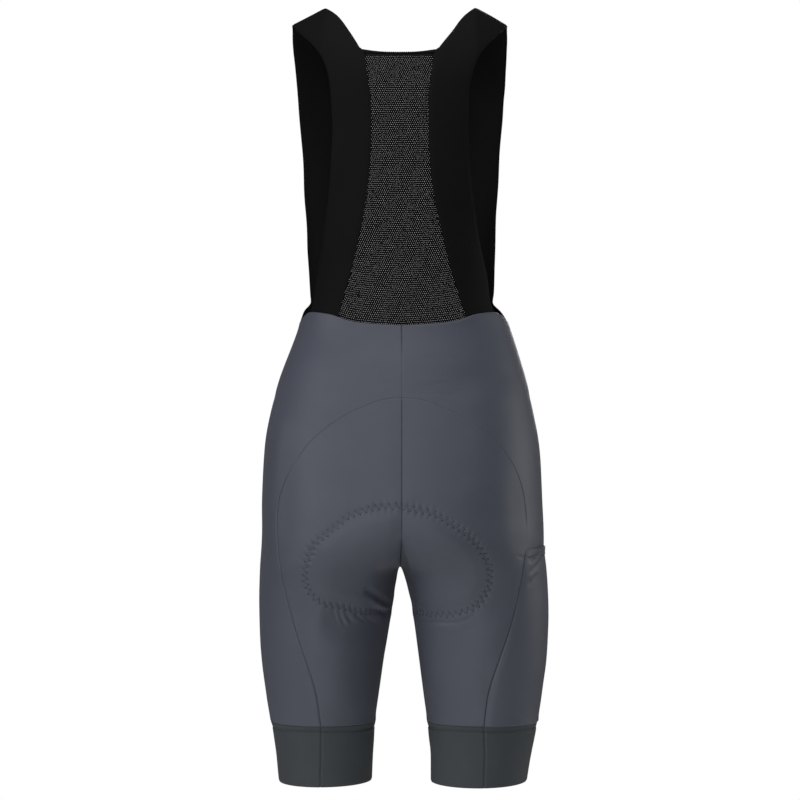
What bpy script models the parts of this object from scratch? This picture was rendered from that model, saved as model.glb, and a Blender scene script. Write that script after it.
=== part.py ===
# Cycling bib shorts, filled out as they are when worn.
#
# Frame: metres, +Z up. The origin lies midway between the tops of the two shoulder
# straps. The back of the garment faces -Y, and the wearer's right side is at +X.
# Every piece is a cloth wall between an outer and an inner surface. The shorts are
# lofted through level rings, one ring for each leg, which share the crotch.

import math
from collections import namedtuple

import bpy
import numpy as np

# ------------------------------------------------------------------ driving sizes
SEAM_GAP = 0.0003            # clearance between two pieces at a seam
WAIST_GAP = 0.0008           # the same between the bib and the shorts, whose facets differ
CLOTH = 0.0015               # wall of the shorts and the straps
NET = 0.0012                 # wall of the back net
BAND = 0.0018                # wall of the leg bands
BINDING = 0.0022             # folded binding at the neck

BAND_TOP = -0.8556           # upper edge of the leg bands
HEM = -0.9264                # lower edge of the leg bands
BAND_STEP = 0.0012           # how far the band lies inside the leg above it
BAND_STEP_FADE = 0.012       # height in which that step runs out

CROTCH = -0.6684             # lowest point of the crotch seam
ARCH_TOP = -0.4681           # top of the arched seat seam at the centre back
YOKE_LEVEL = -0.4500         # below this the rings are level

STRAP_TOP_INNER = 0.090      # inner end of the strap on top of the shoulder
STRAP_TOP_OUTER = 0.130      # outer end of it
SHOULDER_SLOPE = 0.53        # fall of the shoulder line outwards
SHOULDER_ARCH = 0.100        # height in which a strap turns over the shoulder

POCKET_TOP = -0.6456         # mouth of the thigh pocket
POCKET_WALL = 0.0012
POCKET_GAPE = 0.0008         # how far the mouth stands off

PAD_CLEARANCE = 0.0010       # between the pad and the faceted seat panels
PAD_FRONT_CLEARANCE = 0.0014 # the same on the front, where the facets are wider
PAD_EDGE = 0.0015
PAD_THICK = 0.0060

# Level rings of the body inside the cloth, top to bottom. "side" is the outermost and
# "inner" the innermost x of a ring; a ring that passes x = 0 is cut there, and the
# two halves then meet in the centre seam. "back" and "front" are depths from
# "middle", and "full" squares the corners.
Ring = namedtuple("Ring", "height side inner back front middle full")
RINGS = (
    Ring(0.0100, 0.1500, -0.1500, 0.086, 0.080, 0.000, 0.08),
    Ring(-0.0600, 0.1500, -0.1500, 0.089, 0.092, 0.000, 0.08),
    Ring(-0.1200, 0.1460, -0.1460, 0.093, 0.100, 0.000, 0.08),
    Ring(-0.2000, 0.1320, -0.1320, 0.094, 0.105, 0.000, 0.08),
    Ring(-0.2800, 0.1190, -0.1190, 0.090, 0.105, 0.000, 0.08),
    Ring(-0.3400, 0.1160, -0.1160, 0.086, 0.102, 0.000, 0.08),
    Ring(-0.3744, 0.1230, -0.1230, 0.086, 0.101, 0.000, 0.08),
    Ring(-0.3984, 0.1308, -0.1302, 0.091, 0.102, 0.000, 0.08),
    Ring(-0.4224, 0.1392, -0.1340, 0.099, 0.104, 0.000, 0.08),
    Ring(-0.4464, 0.1474, -0.1380, 0.1045, 0.106, 0.000, 0.08),
    Ring(-0.4704, 0.1535, -0.1400, 0.1100, 0.108, 0.000, 0.08),
    Ring(-0.5184, 0.1630, -0.1380, 0.1200, 0.108, 0.000, 0.07),
    Ring(-0.5600, 0.1660, -0.1320, 0.1275, 0.106, 0.001, 0.06),
    Ring(-0.6000, 0.1680, -0.1180, 0.1320, 0.103, 0.002, 0.05),
    Ring(-0.6200, 0.1685, -0.1020, 0.1325, 0.101, 0.003, 0.05),
    Ring(-0.6384, 0.1690, -0.0740, 0.1285, 0.098, 0.004, 0.05),
    Ring(-0.6560, 0.1703, -0.0300, 0.1185, 0.095, 0.005, 0.04),
    Ring(CROTCH, 0.1711, 0.0000, 0.1100, 0.093, 0.005, 0.04),
    Ring(-0.6864, 0.1718, 0.0058, 0.1015, 0.091, 0.006, 0.04),
    Ring(-0.7104, 0.1722, 0.0102, 0.0950, 0.088, 0.006, 0.04),
    Ring(-0.7344, 0.1718, 0.0140, 0.0900, 0.085, 0.006, 0.03),
    Ring(-0.7824, 0.1700, 0.0212, 0.0825, 0.079, 0.007, 0.03),
    Ring(-0.8304, 0.1640, 0.0280, 0.075, 0.072, 0.008, 0.03),
    Ring(BAND_TOP, 0.1604, 0.0314, 0.071, 0.068, 0.008, 0.03),
    Ring(-0.8784, 0.1566, 0.0333, 0.067, 0.065, 0.008, 0.03),
    Ring(-0.8904, 0.1542, 0.0345, 0.065, 0.063, 0.008, 0.03),
    Ring(HEM, 0.1494, 0.0366, 0.062, 0.060, 0.008, 0.03),
)

# Upper edge of the shorts, by the angle round the body from the centre back (degrees).
WaistPoint = namedtuple("WaistPoint", "turn height")
WAIST = (
    WaistPoint(0, -0.3830),
    WaistPoint(18, -0.3805),
    WaistPoint(31, -0.3762),
    WaistPoint(40, -0.3697),
    WaistPoint(50, -0.3672),
    WaistPoint(58, -0.3660),
    WaistPoint(65, -0.3660),
    WaistPoint(72, -0.3700),
    WaistPoint(80, -0.3745),
    WaistPoint(90, -0.3790),
    WaistPoint(108, -0.3855),
    WaistPoint(140, -0.3970),
    WaistPoint(180, -0.4080),
)

# Arched seam between the seat panel and the side panel, on the back.
SeamPoint = namedtuple("SeamPoint", "height x")
SEAT_SEAM = (
    SeamPoint(-0.4727, 0.0309),
    SeamPoint(-0.4850, 0.0608),
    SeamPoint(-0.4994, 0.0835),
    SeamPoint(-0.5158, 0.1036),
    SeamPoint(-0.5329, 0.1176),
    SeamPoint(-0.5511, 0.1295),
    SeamPoint(-0.5862, 0.1425),
    SeamPoint(-0.6128, 0.1453),
    SeamPoint(-0.6440, 0.1443),
    SeamPoint(-0.6726, 0.1407),
    SeamPoint(-0.6987, 0.1350),
    SeamPoint(-0.7247, 0.1287),
    SeamPoint(-0.7744, 0.1132),
    SeamPoint(-0.7983, 0.1056),
    SeamPoint(-0.8226, 0.0999),
    SeamPoint(BAND_TOP, 0.0962),
)

# Edges of the bib, on the back and on the front: distance from the centre by height.
EdgePoint = namedtuple("EdgePoint", "height x")
BACK_INNER_EDGE = (
    EdgePoint(0.0000, STRAP_TOP_INNER),
    EdgePoint(-0.0143, 0.0762),
    EdgePoint(-0.0355, 0.0610),
    EdgePoint(-0.0530, 0.0493),
    EdgePoint(-0.0585, 0.0464),
    EdgePoint(-0.0593, 0.0394),
    EdgePoint(-0.0648, 0.0390),
    EdgePoint(-0.0930, 0.0364),
    EdgePoint(-0.1220, 0.0337),
    EdgePoint(-0.1500, 0.0334),
    EdgePoint(-0.1800, 0.0343),
    EdgePoint(-0.2080, 0.0366),
    EdgePoint(-0.2393, 0.0411),
    EdgePoint(-0.2895, 0.0517),
    EdgePoint(-0.3179, 0.0587),
    EdgePoint(-0.3439, 0.0665),
    EdgePoint(-0.3735, 0.0757),
)
BACK_OUTER_EDGE = (
    EdgePoint(-0.0215, STRAP_TOP_OUTER),
    EdgePoint(-0.0401, 0.1127),
    EdgePoint(-0.0555, 0.0989),
    EdgePoint(-0.0716, 0.0892),
    EdgePoint(-0.0892, 0.0841),
    EdgePoint(-0.1089, 0.0812),
    EdgePoint(-0.1423, 0.0799),
    EdgePoint(-0.1753, 0.0807),
    EdgePoint(-0.2080, 0.0826),
    EdgePoint(-0.2646, 0.0896),
    EdgePoint(-0.2977, 0.0952),
    EdgePoint(-0.3307, 0.1013),
    EdgePoint(-0.3680, 0.1090),
)
FRONT_INNER_EDGE = (
    EdgePoint(0.0000, STRAP_TOP_INNER),
    EdgePoint(-0.0500, 0.0860),
    EdgePoint(-0.1000, 0.0825),
    EdgePoint(-0.2000, 0.0780),
    EdgePoint(-0.3000, 0.0765),
    EdgePoint(-0.3600, 0.0790),
    EdgePoint(-0.3960, 0.0810),
)
FRONT_OUTER_EDGE = (
    EdgePoint(-0.0215, STRAP_TOP_OUTER),
    EdgePoint(-0.0751, 0.1265),
    EdgePoint(-0.1650, 0.1209),
    EdgePoint(-0.2383, 0.1167),
    EdgePoint(-0.3120, 0.1127),
    EdgePoint(-0.3420, 0.1108),
    EdgePoint(-0.3525, 0.1104),
    EdgePoint(-0.3560, 0.1126),
    EdgePoint(-0.3618, 0.1174),
    EdgePoint(-0.3665, 0.1199),
    EdgePoint(-0.3720, 0.1221),
)

# Rows of the bib, by their distance below the shoulder at the inner edge.
NECK_CORNER = 0.0585
NECK_STEP = 0.0593
NET_TOP = 0.0648
BACK_DROP = 0.3735           # from the shoulder to the waist seam along the net's edge
SHOULDER_ROWS = (0.000, 0.003, 0.011, 0.021, 0.031, 0.042)
NET_ROWS = 15
FRONT_ROWS = (0.008, 0.03, 0.06, 0.10, 0.15, 0.21, 0.28, 0.36, 0.44, 0.52, 0.60, 0.68,
              0.76, 0.83, 0.88, 0.915, 0.94, 0.96, 0.975, 0.987, 1.0)

# Outline of the chamois pad: half width by height, on the back and on the front.
PadPoint = namedtuple("PadPoint", "height back front")
PAD_OUTLINE = (
    PadPoint(-0.5922, 0.000, 0.000),
    PadPoint(-0.5945, 0.018, 0.008),
    PadPoint(-0.6040, 0.050, 0.022),
    PadPoint(-0.6150, 0.068, 0.031),
    PadPoint(-0.6270, 0.083, 0.038),
    PadPoint(-0.6400, 0.095, 0.043),
    PadPoint(-0.6560, 0.103, 0.047),
    PadPoint(CROTCH, 0.1065, 0.049),
    PadPoint(-0.6860, 0.1045, 0.050),
    PadPoint(-0.6990, 0.097, 0.048),
    PadPoint(-0.7080, 0.082, 0.044),
    PadPoint(-0.7140, 0.060, 0.036),
    PadPoint(-0.7180, 0.038, 0.026),
    PadPoint(-0.7205, 0.0215, 0.0185),
)

# Line down the outer thigh, by its angle from the side; the pocket ends on it.
ThighPoint = namedtuple("ThighPoint", "height turn")
THIGH_LINE = (
    ThighPoint(-0.3600, -5),
    ThighPoint(ARCH_TOP, 0),
    ThighPoint(POCKET_TOP, 44),
    ThighPoint(BAND_TOP, 30),
)

SEAT_COLUMNS = 11
SIDE_COLUMNS = 19
POCKET_COLUMNS = 8           # columns of the side panel from its seam to the thigh line
YOKE_ROWS = 4
ARCH_ROWS = 16               # from the top of the arch to the crotch
LEG_ROWS = 10                # from the crotch to the band
BAND_COLUMNS = 36
BAND_ROWS = 4
STRAP_COLUMNS = 5
NET_COLUMNS = 12
PAD_BACK_COLUMNS = 7
PAD_FRONT_COLUMNS = 4

SLATE = (0.076, 0.083, 0.102)
BLACK = (0.0075, 0.0075, 0.0078)
GREEN_GREY = (0.045, 0.051, 0.055)
FOAM_BLUE = (0.060, 0.066, 0.080)


# ------------------------------------------------------------------------- curves
def smooth_curve(places, values):
    # Monotone cubic through the given points: smooth, and it never overshoots.
    order = np.argsort(places)
    at = np.asarray(places, float)[order]
    value = np.asarray(values, float)[order]
    step = np.diff(at)
    slope = np.diff(value) / step
    tangent = np.zeros(len(at))
    for i in range(1, len(at) - 1):
        if slope[i - 1] * slope[i] > 0:
            w1 = 2 * step[i] + step[i - 1]
            w2 = step[i] + 2 * step[i - 1]
            tangent[i] = (w1 + w2) / (w1 / slope[i - 1] + w2 / slope[i])
    tangent[0] = slope[0]
    tangent[-1] = slope[-1]

    def curve(place):
        place = min(max(place, at[0]), at[-1])
        i = int(np.clip(np.searchsorted(at, place) - 1, 0, len(step) - 1))
        t = (place - at[i]) / step[i]
        return ((1 + 2 * t) * (1 - t) ** 2 * value[i] + t * (1 - t) ** 2 * step[i] * tangent[i]
                + t * t * (3 - 2 * t) * value[i + 1] - t * t * (1 - t) * step[i] * tangent[i + 1])

    return curve


def column_curve(table, column, key="height"):
    return smooth_curve([getattr(row, key) for row in table],
                        [getattr(row, column) for row in table])


ring_curves = {name: column_curve(RINGS, name) for name in Ring._fields[1:]}
waist_curve = column_curve(WAIST, "height", key="turn")


def ring(height):
    return Ring(height, *(ring_curves[name](height) for name in Ring._fields[1:]))


def blend(a, b, t):
    return a + (b - a) * t


def soft_step(t):
    t = min(max(t, 0.0), 1.0)
    return t * t * (3 - 2 * t)


def solve(function, low, high):
    # Root of a function that changes sign once between low and high.
    sign = function(low) > 0
    for _ in range(48):
        middle = (low + high) / 2
        if (function(middle) > 0) == sign:
            low = middle
        else:
            high = middle
    return (low + high) / 2


# -------------------------------------------------------------- body inside the cloth
def ring_x(r, angle):
    return ((r.side + r.inner) / 2
            + (r.side - r.inner) / 2 * math.cos(angle) * (1 + r.full * math.sin(angle) ** 2))


def ring_point(height, angle):
    # Angle 0 is the outer side, -90 degrees the back and +90 degrees the front.
    r = ring(height)
    depth = r.back if math.sin(angle) < 0 else r.front
    y = r.middle + depth * math.sin(angle) * (1 + r.full * math.cos(angle) ** 2)
    return np.array((ring_x(r, angle), y, height))


def angle_at(height, x):
    # Angle on the back of the ring at which it lies at this x.
    r = ring(height)
    if ring_x(r, -math.pi) >= x:
        return -math.pi
    return solve(lambda angle: ring_x(r, angle) - x, -math.pi, 0.0)


def start_angle(height):
    return angle_at(height, 0.0)


def seam_angle(height):
    return angle_at(height, seat_seam_x(height))


def seat_seam_x(height):
    # A round crown from the centre back to the first point of the table, then the table.
    crown = SEAT_SEAM[0]
    if height >= crown.height:
        fall = max(ARCH_TOP - height, 0.0) / (ARCH_TOP - crown.height)
        return crown.x * math.sqrt(fall)
    return seat_seam_curve(height)


seat_seam_curve = column_curve(SEAT_SEAM, "x")
thigh_line_curve = column_curve(THIGH_LINE, "turn")


def waist_height(angle):
    turn = min(max(90 + math.degrees(angle), 0.0), 180.0)
    return waist_curve(turn)


def body_normal(height, angle):
    step = 1e-4
    along = ring_point(height, angle + step) - ring_point(height, angle - step)
    up = ring_point(height + step, angle) - ring_point(height - step, angle)
    normal = np.cross(along, up)
    return normal / np.linalg.norm(normal)


def centre_normal(normal):
    # At the centre seam the wall stands in the plane x = 0.
    flat = np.array((0.0, normal[1], normal[2]))
    size = np.linalg.norm(flat)
    return flat / size * min(1 / size, 2.0)


# ------------------------------------------------------------------- solids from walls
def weld(points, tolerance=1e-6):
    # Index of the first point at each place, so that points that coincide are shared.
    seen = {}
    index = []
    for number, point in enumerate(points):
        key = tuple(np.round(np.asarray(point) / tolerance).astype(int))
        index.append(seen.setdefault(key, number))
    return index


def wall_object(name, outer, inner, quads, material, collection):
    # Closed solid between two surfaces that share the same faces. Each quad is cut
    # along its shorter diagonal, which keeps to the curve of the cloth.
    index = weld(outer)
    triangles = []
    for quad in quads:
        a, b, c, d = (index[corner] for corner in quad)
        if np.linalg.norm(outer[a] - outer[c]) < 1.001 * np.linalg.norm(outer[b] - outer[d]):
            halves = ((a, b, c), (a, c, d))
        else:
            halves = ((a, b, d), (b, c, d))
        triangles += [half for half in halves if len(set(half)) == 3]
    used = sorted({corner for triangle in triangles for corner in triangle})
    number = {old: new for new, old in enumerate(used)}
    triangles = [tuple(number[corner] for corner in triangle) for triangle in triangles]
    count = len(used)
    edges = {}
    for triangle in triangles:
        for start, end in zip(triangle, triangle[1:] + triangle[:1]):
            edges[(start, end)] = True
    faces = list(triangles)
    faces += [tuple(corner + count for corner in reversed(triangle)) for triangle in triangles]
    for start, end in edges:
        if (end, start) not in edges:
            faces.append((end, start, start + count))
            faces.append((end, start + count, end + count))
    points = [tuple(outer[i]) for i in used] + [tuple(inner[i]) for i in used]
    mesh = bpy.data.meshes.new(name)
    mesh.from_pydata(points, [], faces)
    mesh.validate()
    mesh.materials.append(material)
    mesh.shade_smooth()
    mesh.set_sharp_from_angle(angle=math.radians(50))
    piece = bpy.data.objects.new(name, mesh)
    collection.objects.link(piece)
    return piece


def grid_quads(rows, columns, closed=False, offset=0):
    # Quads of a grid whose rows run down and whose columns run from the back outwards.
    quads = []
    span = columns if closed else columns - 1
    for i in range(rows - 1):
        for j in range(span):
            k = (j + 1) % columns
            quads.append((offset + i * columns + j, offset + (i + 1) * columns + j,
                          offset + (i + 1) * columns + k, offset + i * columns + k))
    return quads


def mirrored(points):
    return [np.array((-p[0], p[1], p[2])) for p in points]


def flipped(quads):
    # Turned round, with the same diagonal.
    return [(a, d, c, b) for a, b, c, d in quads]


def add_pair(base, outer, inner, quads, material, collection):
    # The right piece as given, and the left one as its mirror image.
    wall_object(base + "_right", outer, inner, quads, material, collection)
    wall_object(base + "_left", mirrored(outer), mirrored(inner), flipped(quads),
                material, collection)


# ------------------------------------------------------------------------- the shorts
def arch_levels():
    # Close together where the arch and the crotch turn sharply.
    return [blend(ARCH_TOP, CROTCH, soft_step(i / ARCH_ROWS)) for i in range(ARCH_ROWS + 1)]


def leg_levels():
    lowest = BAND_TOP + SEAM_GAP / 2
    return [blend(CROTCH, lowest, (i / LEG_ROWS) ** 1.4) for i in range(1, LEG_ROWS + 1)]


def shorts_levels():
    # The mouth of the pocket takes the place of the level nearest to it.
    levels = arch_levels() + leg_levels()
    nearest = min(range(len(levels)), key=lambda i: abs(levels[i] - POCKET_TOP))
    levels[nearest] = POCKET_TOP
    return levels


def seam_shift(height, side):
    # Half of the seam gap, square to the seat seam and along the cloth.
    step = 2e-4
    if height > ARCH_TOP - step:
        return np.array((0.0, 0.0, side * SEAM_GAP / 2))
    above = ring_point(height + step, seam_angle(height + step))
    below = ring_point(height - step, seam_angle(height - step))
    along = below - above
    across = np.cross(body_normal(height, seam_angle(height)), along)
    return across / np.linalg.norm(across) * side * SEAM_GAP / 2


def cloth_pair(height, angle, wall, on_centre=False, shift=None):
    # The outer and the inner point of a wall at one place on the body.
    outer = ring_point(height, angle)
    normal = body_normal(height, angle)
    if on_centre:
        outer[0] = SEAM_GAP / 2
        normal = centre_normal(normal)
    if shift is not None:
        outer = outer + shift
    return outer, outer - normal * wall


def inseam_shift(side):
    return np.array((0.0, side * SEAM_GAP / 2, 0.0))


def seat_panel_points():
    outer, inner = [], []
    for height in shorts_levels():
        start = start_angle(height)
        seam = max(seam_angle(height), start)
        above_crotch = height > CROTCH + 1e-6
        for j in range(SEAT_COLUMNS + 1):
            angle = blend(start, seam, j / SEAT_COLUMNS)
            at_centre = j == 0 and height >= CROTCH - 1e-6
            shift = np.zeros(3)
            if j == 0 and not above_crotch:
                shift = shift + inseam_shift(-1)
            if j == SEAT_COLUMNS or height > ARCH_TOP - 1e-6:
                shift = shift + seam_shift(height, -1)
            if height > ARCH_TOP - 1e-6:
                at_centre = True
            a, b = cloth_pair(height, angle, CLOTH, at_centre, shift)
            outer.append(a)
            inner.append(b)
    return outer, inner


def side_angle(height, start, end, column):
    # Columns of the side panel, even on either side of the thigh line.
    middle = math.radians(thigh_line_curve(height))
    if column <= POCKET_COLUMNS:
        return blend(start, middle, column / POCKET_COLUMNS)
    return blend(middle, end, (column - POCKET_COLUMNS) / (SIDE_COLUMNS - POCKET_COLUMNS))


def side_panel_points():
    outer, inner = [], []
    for i in range(YOKE_ROWS + 1):
        for j in range(SIDE_COLUMNS + 1):
            angle = side_angle(YOKE_LEVEL, -math.pi / 2, math.pi / 2, j)
            height = blend(waist_height(angle), YOKE_LEVEL, i / YOKE_ROWS)
            if i == YOKE_ROWS:
                start = start_angle(height)
                angle = side_angle(height, start, -start, j)
            a, b = cloth_pair(height, angle, CLOTH, j in (0, SIDE_COLUMNS))
            outer.append(a)
            inner.append(b)
    for height in shorts_levels():
        seam = max(seam_angle(height), start_angle(height))
        end = -start_angle(height)
        at_top = height > ARCH_TOP - 1e-6
        for j in range(SIDE_COLUMNS + 1):
            angle = side_angle(height, seam, end, j)
            shift = np.zeros(3)
            if j == 0:
                shift = shift + seam_shift(height, 1)
            if j == SIDE_COLUMNS and height <= CROTCH + 1e-6:
                shift = shift + inseam_shift(1)
            at_centre = (j == 0 and at_top) or (j == SIDE_COLUMNS and height >= CROTCH - 1e-6)
            a, b = cloth_pair(height, angle, CLOTH, at_centre, shift)
            outer.append(a)
            inner.append(b)
    return outer, inner


def add_seat_panels(material, collection):
    outer, inner = seat_panel_points()
    rows = len(shorts_levels())
    quads = grid_quads(rows, SEAT_COLUMNS + 1)
    add_pair("seat_panel", outer, inner, quads, material, collection)


def add_side_panels(material, collection):
    outer, inner = side_panel_points()
    rows = YOKE_ROWS + 1 + len(shorts_levels())
    quads = grid_quads(rows, SIDE_COLUMNS + 1)
    add_pair("side_panel", outer, inner, quads, material, collection)


def add_thigh_pocket(material, collection):
    # A patch on the right side panel, made from that panel's own points, moved out.
    panel_outer, panel_inner = side_panel_points()
    levels = shorts_levels()
    columns = SIDE_COLUMNS + 1
    first = YOKE_ROWS + 1 + levels.index(POCKET_TOP)
    last = YOKE_ROWS + 1 + len(levels) - 1
    width = POCKET_COLUMNS + 1
    outer, inner = [], []
    for i in range(first, last + 1):
        for j in range(width):
            outside = panel_outer[i * columns + j]
            normal = (outside - panel_inner[i * columns + j]) / CLOTH
            gape = POCKET_GAPE * math.sin(math.pi * j / (width - 1)) if i == first else 0.0
            base = outside + normal * (SEAM_GAP + gape)
            inner.append(base)
            outer.append(base + normal * POCKET_WALL)
    quads = grid_quads(last - first + 1, width)
    wall_object("thigh_pocket_right", outer, inner, quads, material, collection)


def add_leg_bands(material, collection):
    outer, inner = [], []
    top = BAND_TOP - SEAM_GAP / 2
    for i in range(BAND_ROWS + 1):
        height = blend(top, HEM, (i / BAND_ROWS) ** 1.3)
        step = BAND_STEP * (1 - soft_step((top - height) / BAND_STEP_FADE))
        for j in range(BAND_COLUMNS):
            angle = 2 * math.pi * j / BAND_COLUMNS - math.pi
            normal = body_normal(height, angle)
            point = ring_point(height, angle) - normal * step
            outer.append(point)
            inner.append(point - normal * BAND)
    quads = grid_quads(BAND_ROWS + 1, BAND_COLUMNS, closed=True)
    add_pair("leg_band", outer, inner, quads, material, collection)


# ---------------------------------------------------------------------------- the bib
def shoulder_height(x):
    return -SHOULDER_SLOPE * max(x - STRAP_TOP_INNER, 0.0)


def bib_point(angle, part):
    # A place on the bib: "part" runs from 0 on the shoulder to 1 at the waist seam.
    foot = waist_height(angle) + WAIST_GAP
    x = ring_x(ring(foot * part), angle)
    for _ in range(6):
        height = blend(shoulder_height(x), foot, part)
        x = ring_x(ring(height), angle)
    point = ring_point(height, angle)
    drop = (shoulder_height(x) - height) / SHOULDER_ARCH
    if drop < 1:
        point[1] *= math.sqrt(max(1 - (1 - drop) ** 2, 0.0))
    return point


def part_at(height, x, side):
    # The inverse of bib_point for one point of an edge.
    angle = -side * angle_at(height, x)
    foot = waist_height(angle) + WAIST_GAP
    top = shoulder_height(x)
    return min((top - height) / (top - foot), 1.0), angle


def edge_curve(table, side):
    pairs = [part_at(row.height, row.x, side) for row in table]
    return smooth_curve([pair[0] for pair in pairs], [pair[1] for pair in pairs])


def bib_normal(angle, part, step=2e-3):
    part = max(part, 0.004)
    along = bib_point(angle + step, part) - bib_point(angle - step, part)
    up = bib_point(angle, part - step) - bib_point(angle, part + step)
    normal = np.cross(along, up)
    return normal / np.linalg.norm(normal)


def ridge_normal():
    normal = np.array((SHOULDER_SLOPE, 0.0, 1.0))
    return normal / np.linalg.norm(normal)


def bib_rows():
    drops = list(SHOULDER_ROWS) + [NECK_CORNER, NECK_STEP]
    drops += [blend(NET_TOP, BACK_DROP, i / NET_ROWS) for i in range(NET_ROWS + 1)]
    return [drop / BACK_DROP for drop in drops]


def add_bib_straps(material, collection):
    # One piece each side: up the back, over the shoulder and down the front.
    edges = {
        -1: (edge_curve(BACK_INNER_EDGE, -1), edge_curve(BACK_OUTER_EDGE, -1)),
        1: (edge_curve(FRONT_INNER_EDGE, 1), edge_curve(FRONT_OUTER_EDGE, 1)),
    }
    rows = [(part, -1) for part in reversed(bib_rows())]
    rows += [(part, 1) for part in FRONT_ROWS]
    outer, inner = [], []
    for part, side in rows:
        inner_edge, outer_edge = edges[side]
        for j in range(STRAP_COLUMNS + 1):
            across = j / STRAP_COLUMNS
            if part == 0:
                x = blend(STRAP_TOP_INNER, STRAP_TOP_OUTER, across)
                point = np.array((x, 0.0, shoulder_height(x)))
                normal = ridge_normal()
            else:
                angle = blend(inner_edge(part), outer_edge(part), across)
                point = bib_point(angle, part)
                normal = bib_normal(angle, part)
            if j == 0 and side < 0 and part > NECK_CORNER / BACK_DROP:
                point[0] += SEAM_GAP
            outer.append(point)
            inner.append(point - normal * CLOTH)
    quads = flipped(grid_quads(len(rows), STRAP_COLUMNS + 1))
    add_pair("bib_strap", outer, inner, quads, material, collection)


def add_back_strip(name, parts, columns, wall, material, collection):
    # A strip across the back between the inner edges of the two straps.
    inner_edge = edge_curve(BACK_INNER_EDGE, -1)
    outer, inner = [], []
    for part in parts:
        for j in range(columns + 1):
            across = 2 * j / columns - 1
            angle = blend(-math.pi / 2, inner_edge(part), abs(across))
            point = bib_point(angle, part)
            normal = bib_normal(angle, part)
            if across < 0:
                point[0] = -point[0]
                normal[0] = -normal[0]
            if j * 2 == columns:
                point[0] = 0.0
                normal[0] = 0.0
            outer.append(point)
            inner.append(point - normal * wall)
    quads = grid_quads(len(parts), columns + 1)
    wall_object(name, outer, inner, quads, material, collection)


def add_back_mesh_panel(material, collection):
    parts = [part for part in bib_rows() if part > (NET_TOP - 1e-6) / BACK_DROP]
    add_back_strip("back_mesh_panel", parts, NET_COLUMNS, NET, material, collection)


def add_neck_binding(material, collection):
    low = (NET_TOP - SEAM_GAP) / BACK_DROP
    high = (NECK_STEP + SEAM_GAP) / BACK_DROP
    add_back_strip("neck_binding", [high, low], NET_COLUMNS, BINDING, material, collection)


# ------------------------------------------------------------------------ the chamois
def pad_pair(height, angle, on_centre, clearance, swell):
    normal = body_normal(height, angle)
    point = ring_point(height, angle)
    if on_centre:
        point[0] = 0.0
        normal = centre_normal(normal)
    outside = point - normal * (CLOTH + clearance)
    return outside, outside - normal * blend(PAD_EDGE, PAD_THICK, swell)


def pad_levels():
    # The rows of the shorts that the pad covers, and the ends of its outline.
    top = [row.height for row in PAD_OUTLINE[:3]]
    low = [row.height for row in PAD_OUTLINE[-4:]]
    return top + [level for level in shorts_levels() if low[0] < level < top[-1]] + low


def add_chamois_pad(material, collection):
    # Back and front halves meet in the inseam below the crotch and mirror across x = 0.
    widths = {-1: column_curve(PAD_OUTLINE, "back"), 1: column_curve(PAD_OUTLINE, "front")}
    columns = {-1: PAD_BACK_COLUMNS + 1, 1: PAD_FRONT_COLUMNS + 1}
    levels = pad_levels()
    outer, inner, quads = [], [], []
    for side in (-1, 1):
        offset = len(outer)
        for i, height in enumerate(levels):
            start = start_angle(height)
            end = max(angle_at(height, widths[side](height)), start)
            rise = 1 - (2 * (levels[0] - height) / (levels[0] - levels[-1]) - 1) ** 6
            for j in range(columns[side]):
                across = j / (columns[side] - 1)
                if side > 0:
                    across = 1 - across
                if end - start < 1e-6:
                    across = 0.0
                angle = -side * blend(start, end, across)
                centre = height >= CROTCH - 1e-6 and across == 0
                toward_front = soft_step(0.5 + side * 0.5 * min(1, 2 * across))
                clearance = blend(PAD_CLEARANCE, PAD_FRONT_CLEARANCE, toward_front)
                a, b = pad_pair(height, angle, centre, clearance, rise * (1 - across ** 4))
                outer.append(a)
                inner.append(b)
        quads += grid_quads(len(levels), columns[side], offset=offset)
    count = len(outer)
    quads += [tuple(corner + count for corner in quad) for quad in flipped(quads)]
    wall_object("chamois_pad", outer + mirrored(outer), inner + mirrored(inner), quads,
                material, collection)


# -------------------------------------------------------------------------- materials
def cloth_material(name, colour, roughness):
    material = bpy.data.materials.new(name)
    material.use_nodes = True
    shader = material.node_tree.nodes["Principled BSDF"]
    shader.inputs["Base Color"].default_value = (*colour, 1.0)
    shader.inputs["Roughness"].default_value = roughness
    shader.inputs["Metallic"].default_value = 0.0
    return material


def clear_scene():
    for item in list(bpy.data.objects):
        bpy.data.objects.remove(item, do_unlink=True)


def build():
    clear_scene()
    collection = bpy.data.collections.new("cycling_bib_shorts")
    bpy.context.scene.collection.children.link(collection)
    stretch_cloth = cloth_material("stretch_cloth", SLATE, 0.55)
    bib_cloth = cloth_material("bib_cloth", BLACK, 0.75)
    net = cloth_material("net", BLACK, 0.80)
    band_knit = cloth_material("band_knit", GREEN_GREY, 0.70)
    pad_foam = cloth_material("pad_foam", FOAM_BLUE, 0.85)
    add_seat_panels(stretch_cloth, collection)
    add_side_panels(stretch_cloth, collection)
    add_thigh_pocket(stretch_cloth, collection)
    add_leg_bands(band_knit, collection)
    add_bib_straps(bib_cloth, collection)
    add_back_mesh_panel(net, collection)
    add_neck_binding(bib_cloth, collection)
    add_chamois_pad(pad_foam, collection)


build()
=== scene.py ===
import math

import bpy
import numpy as np
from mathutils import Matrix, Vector
from mathutils.kdtree import KDTree


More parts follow.
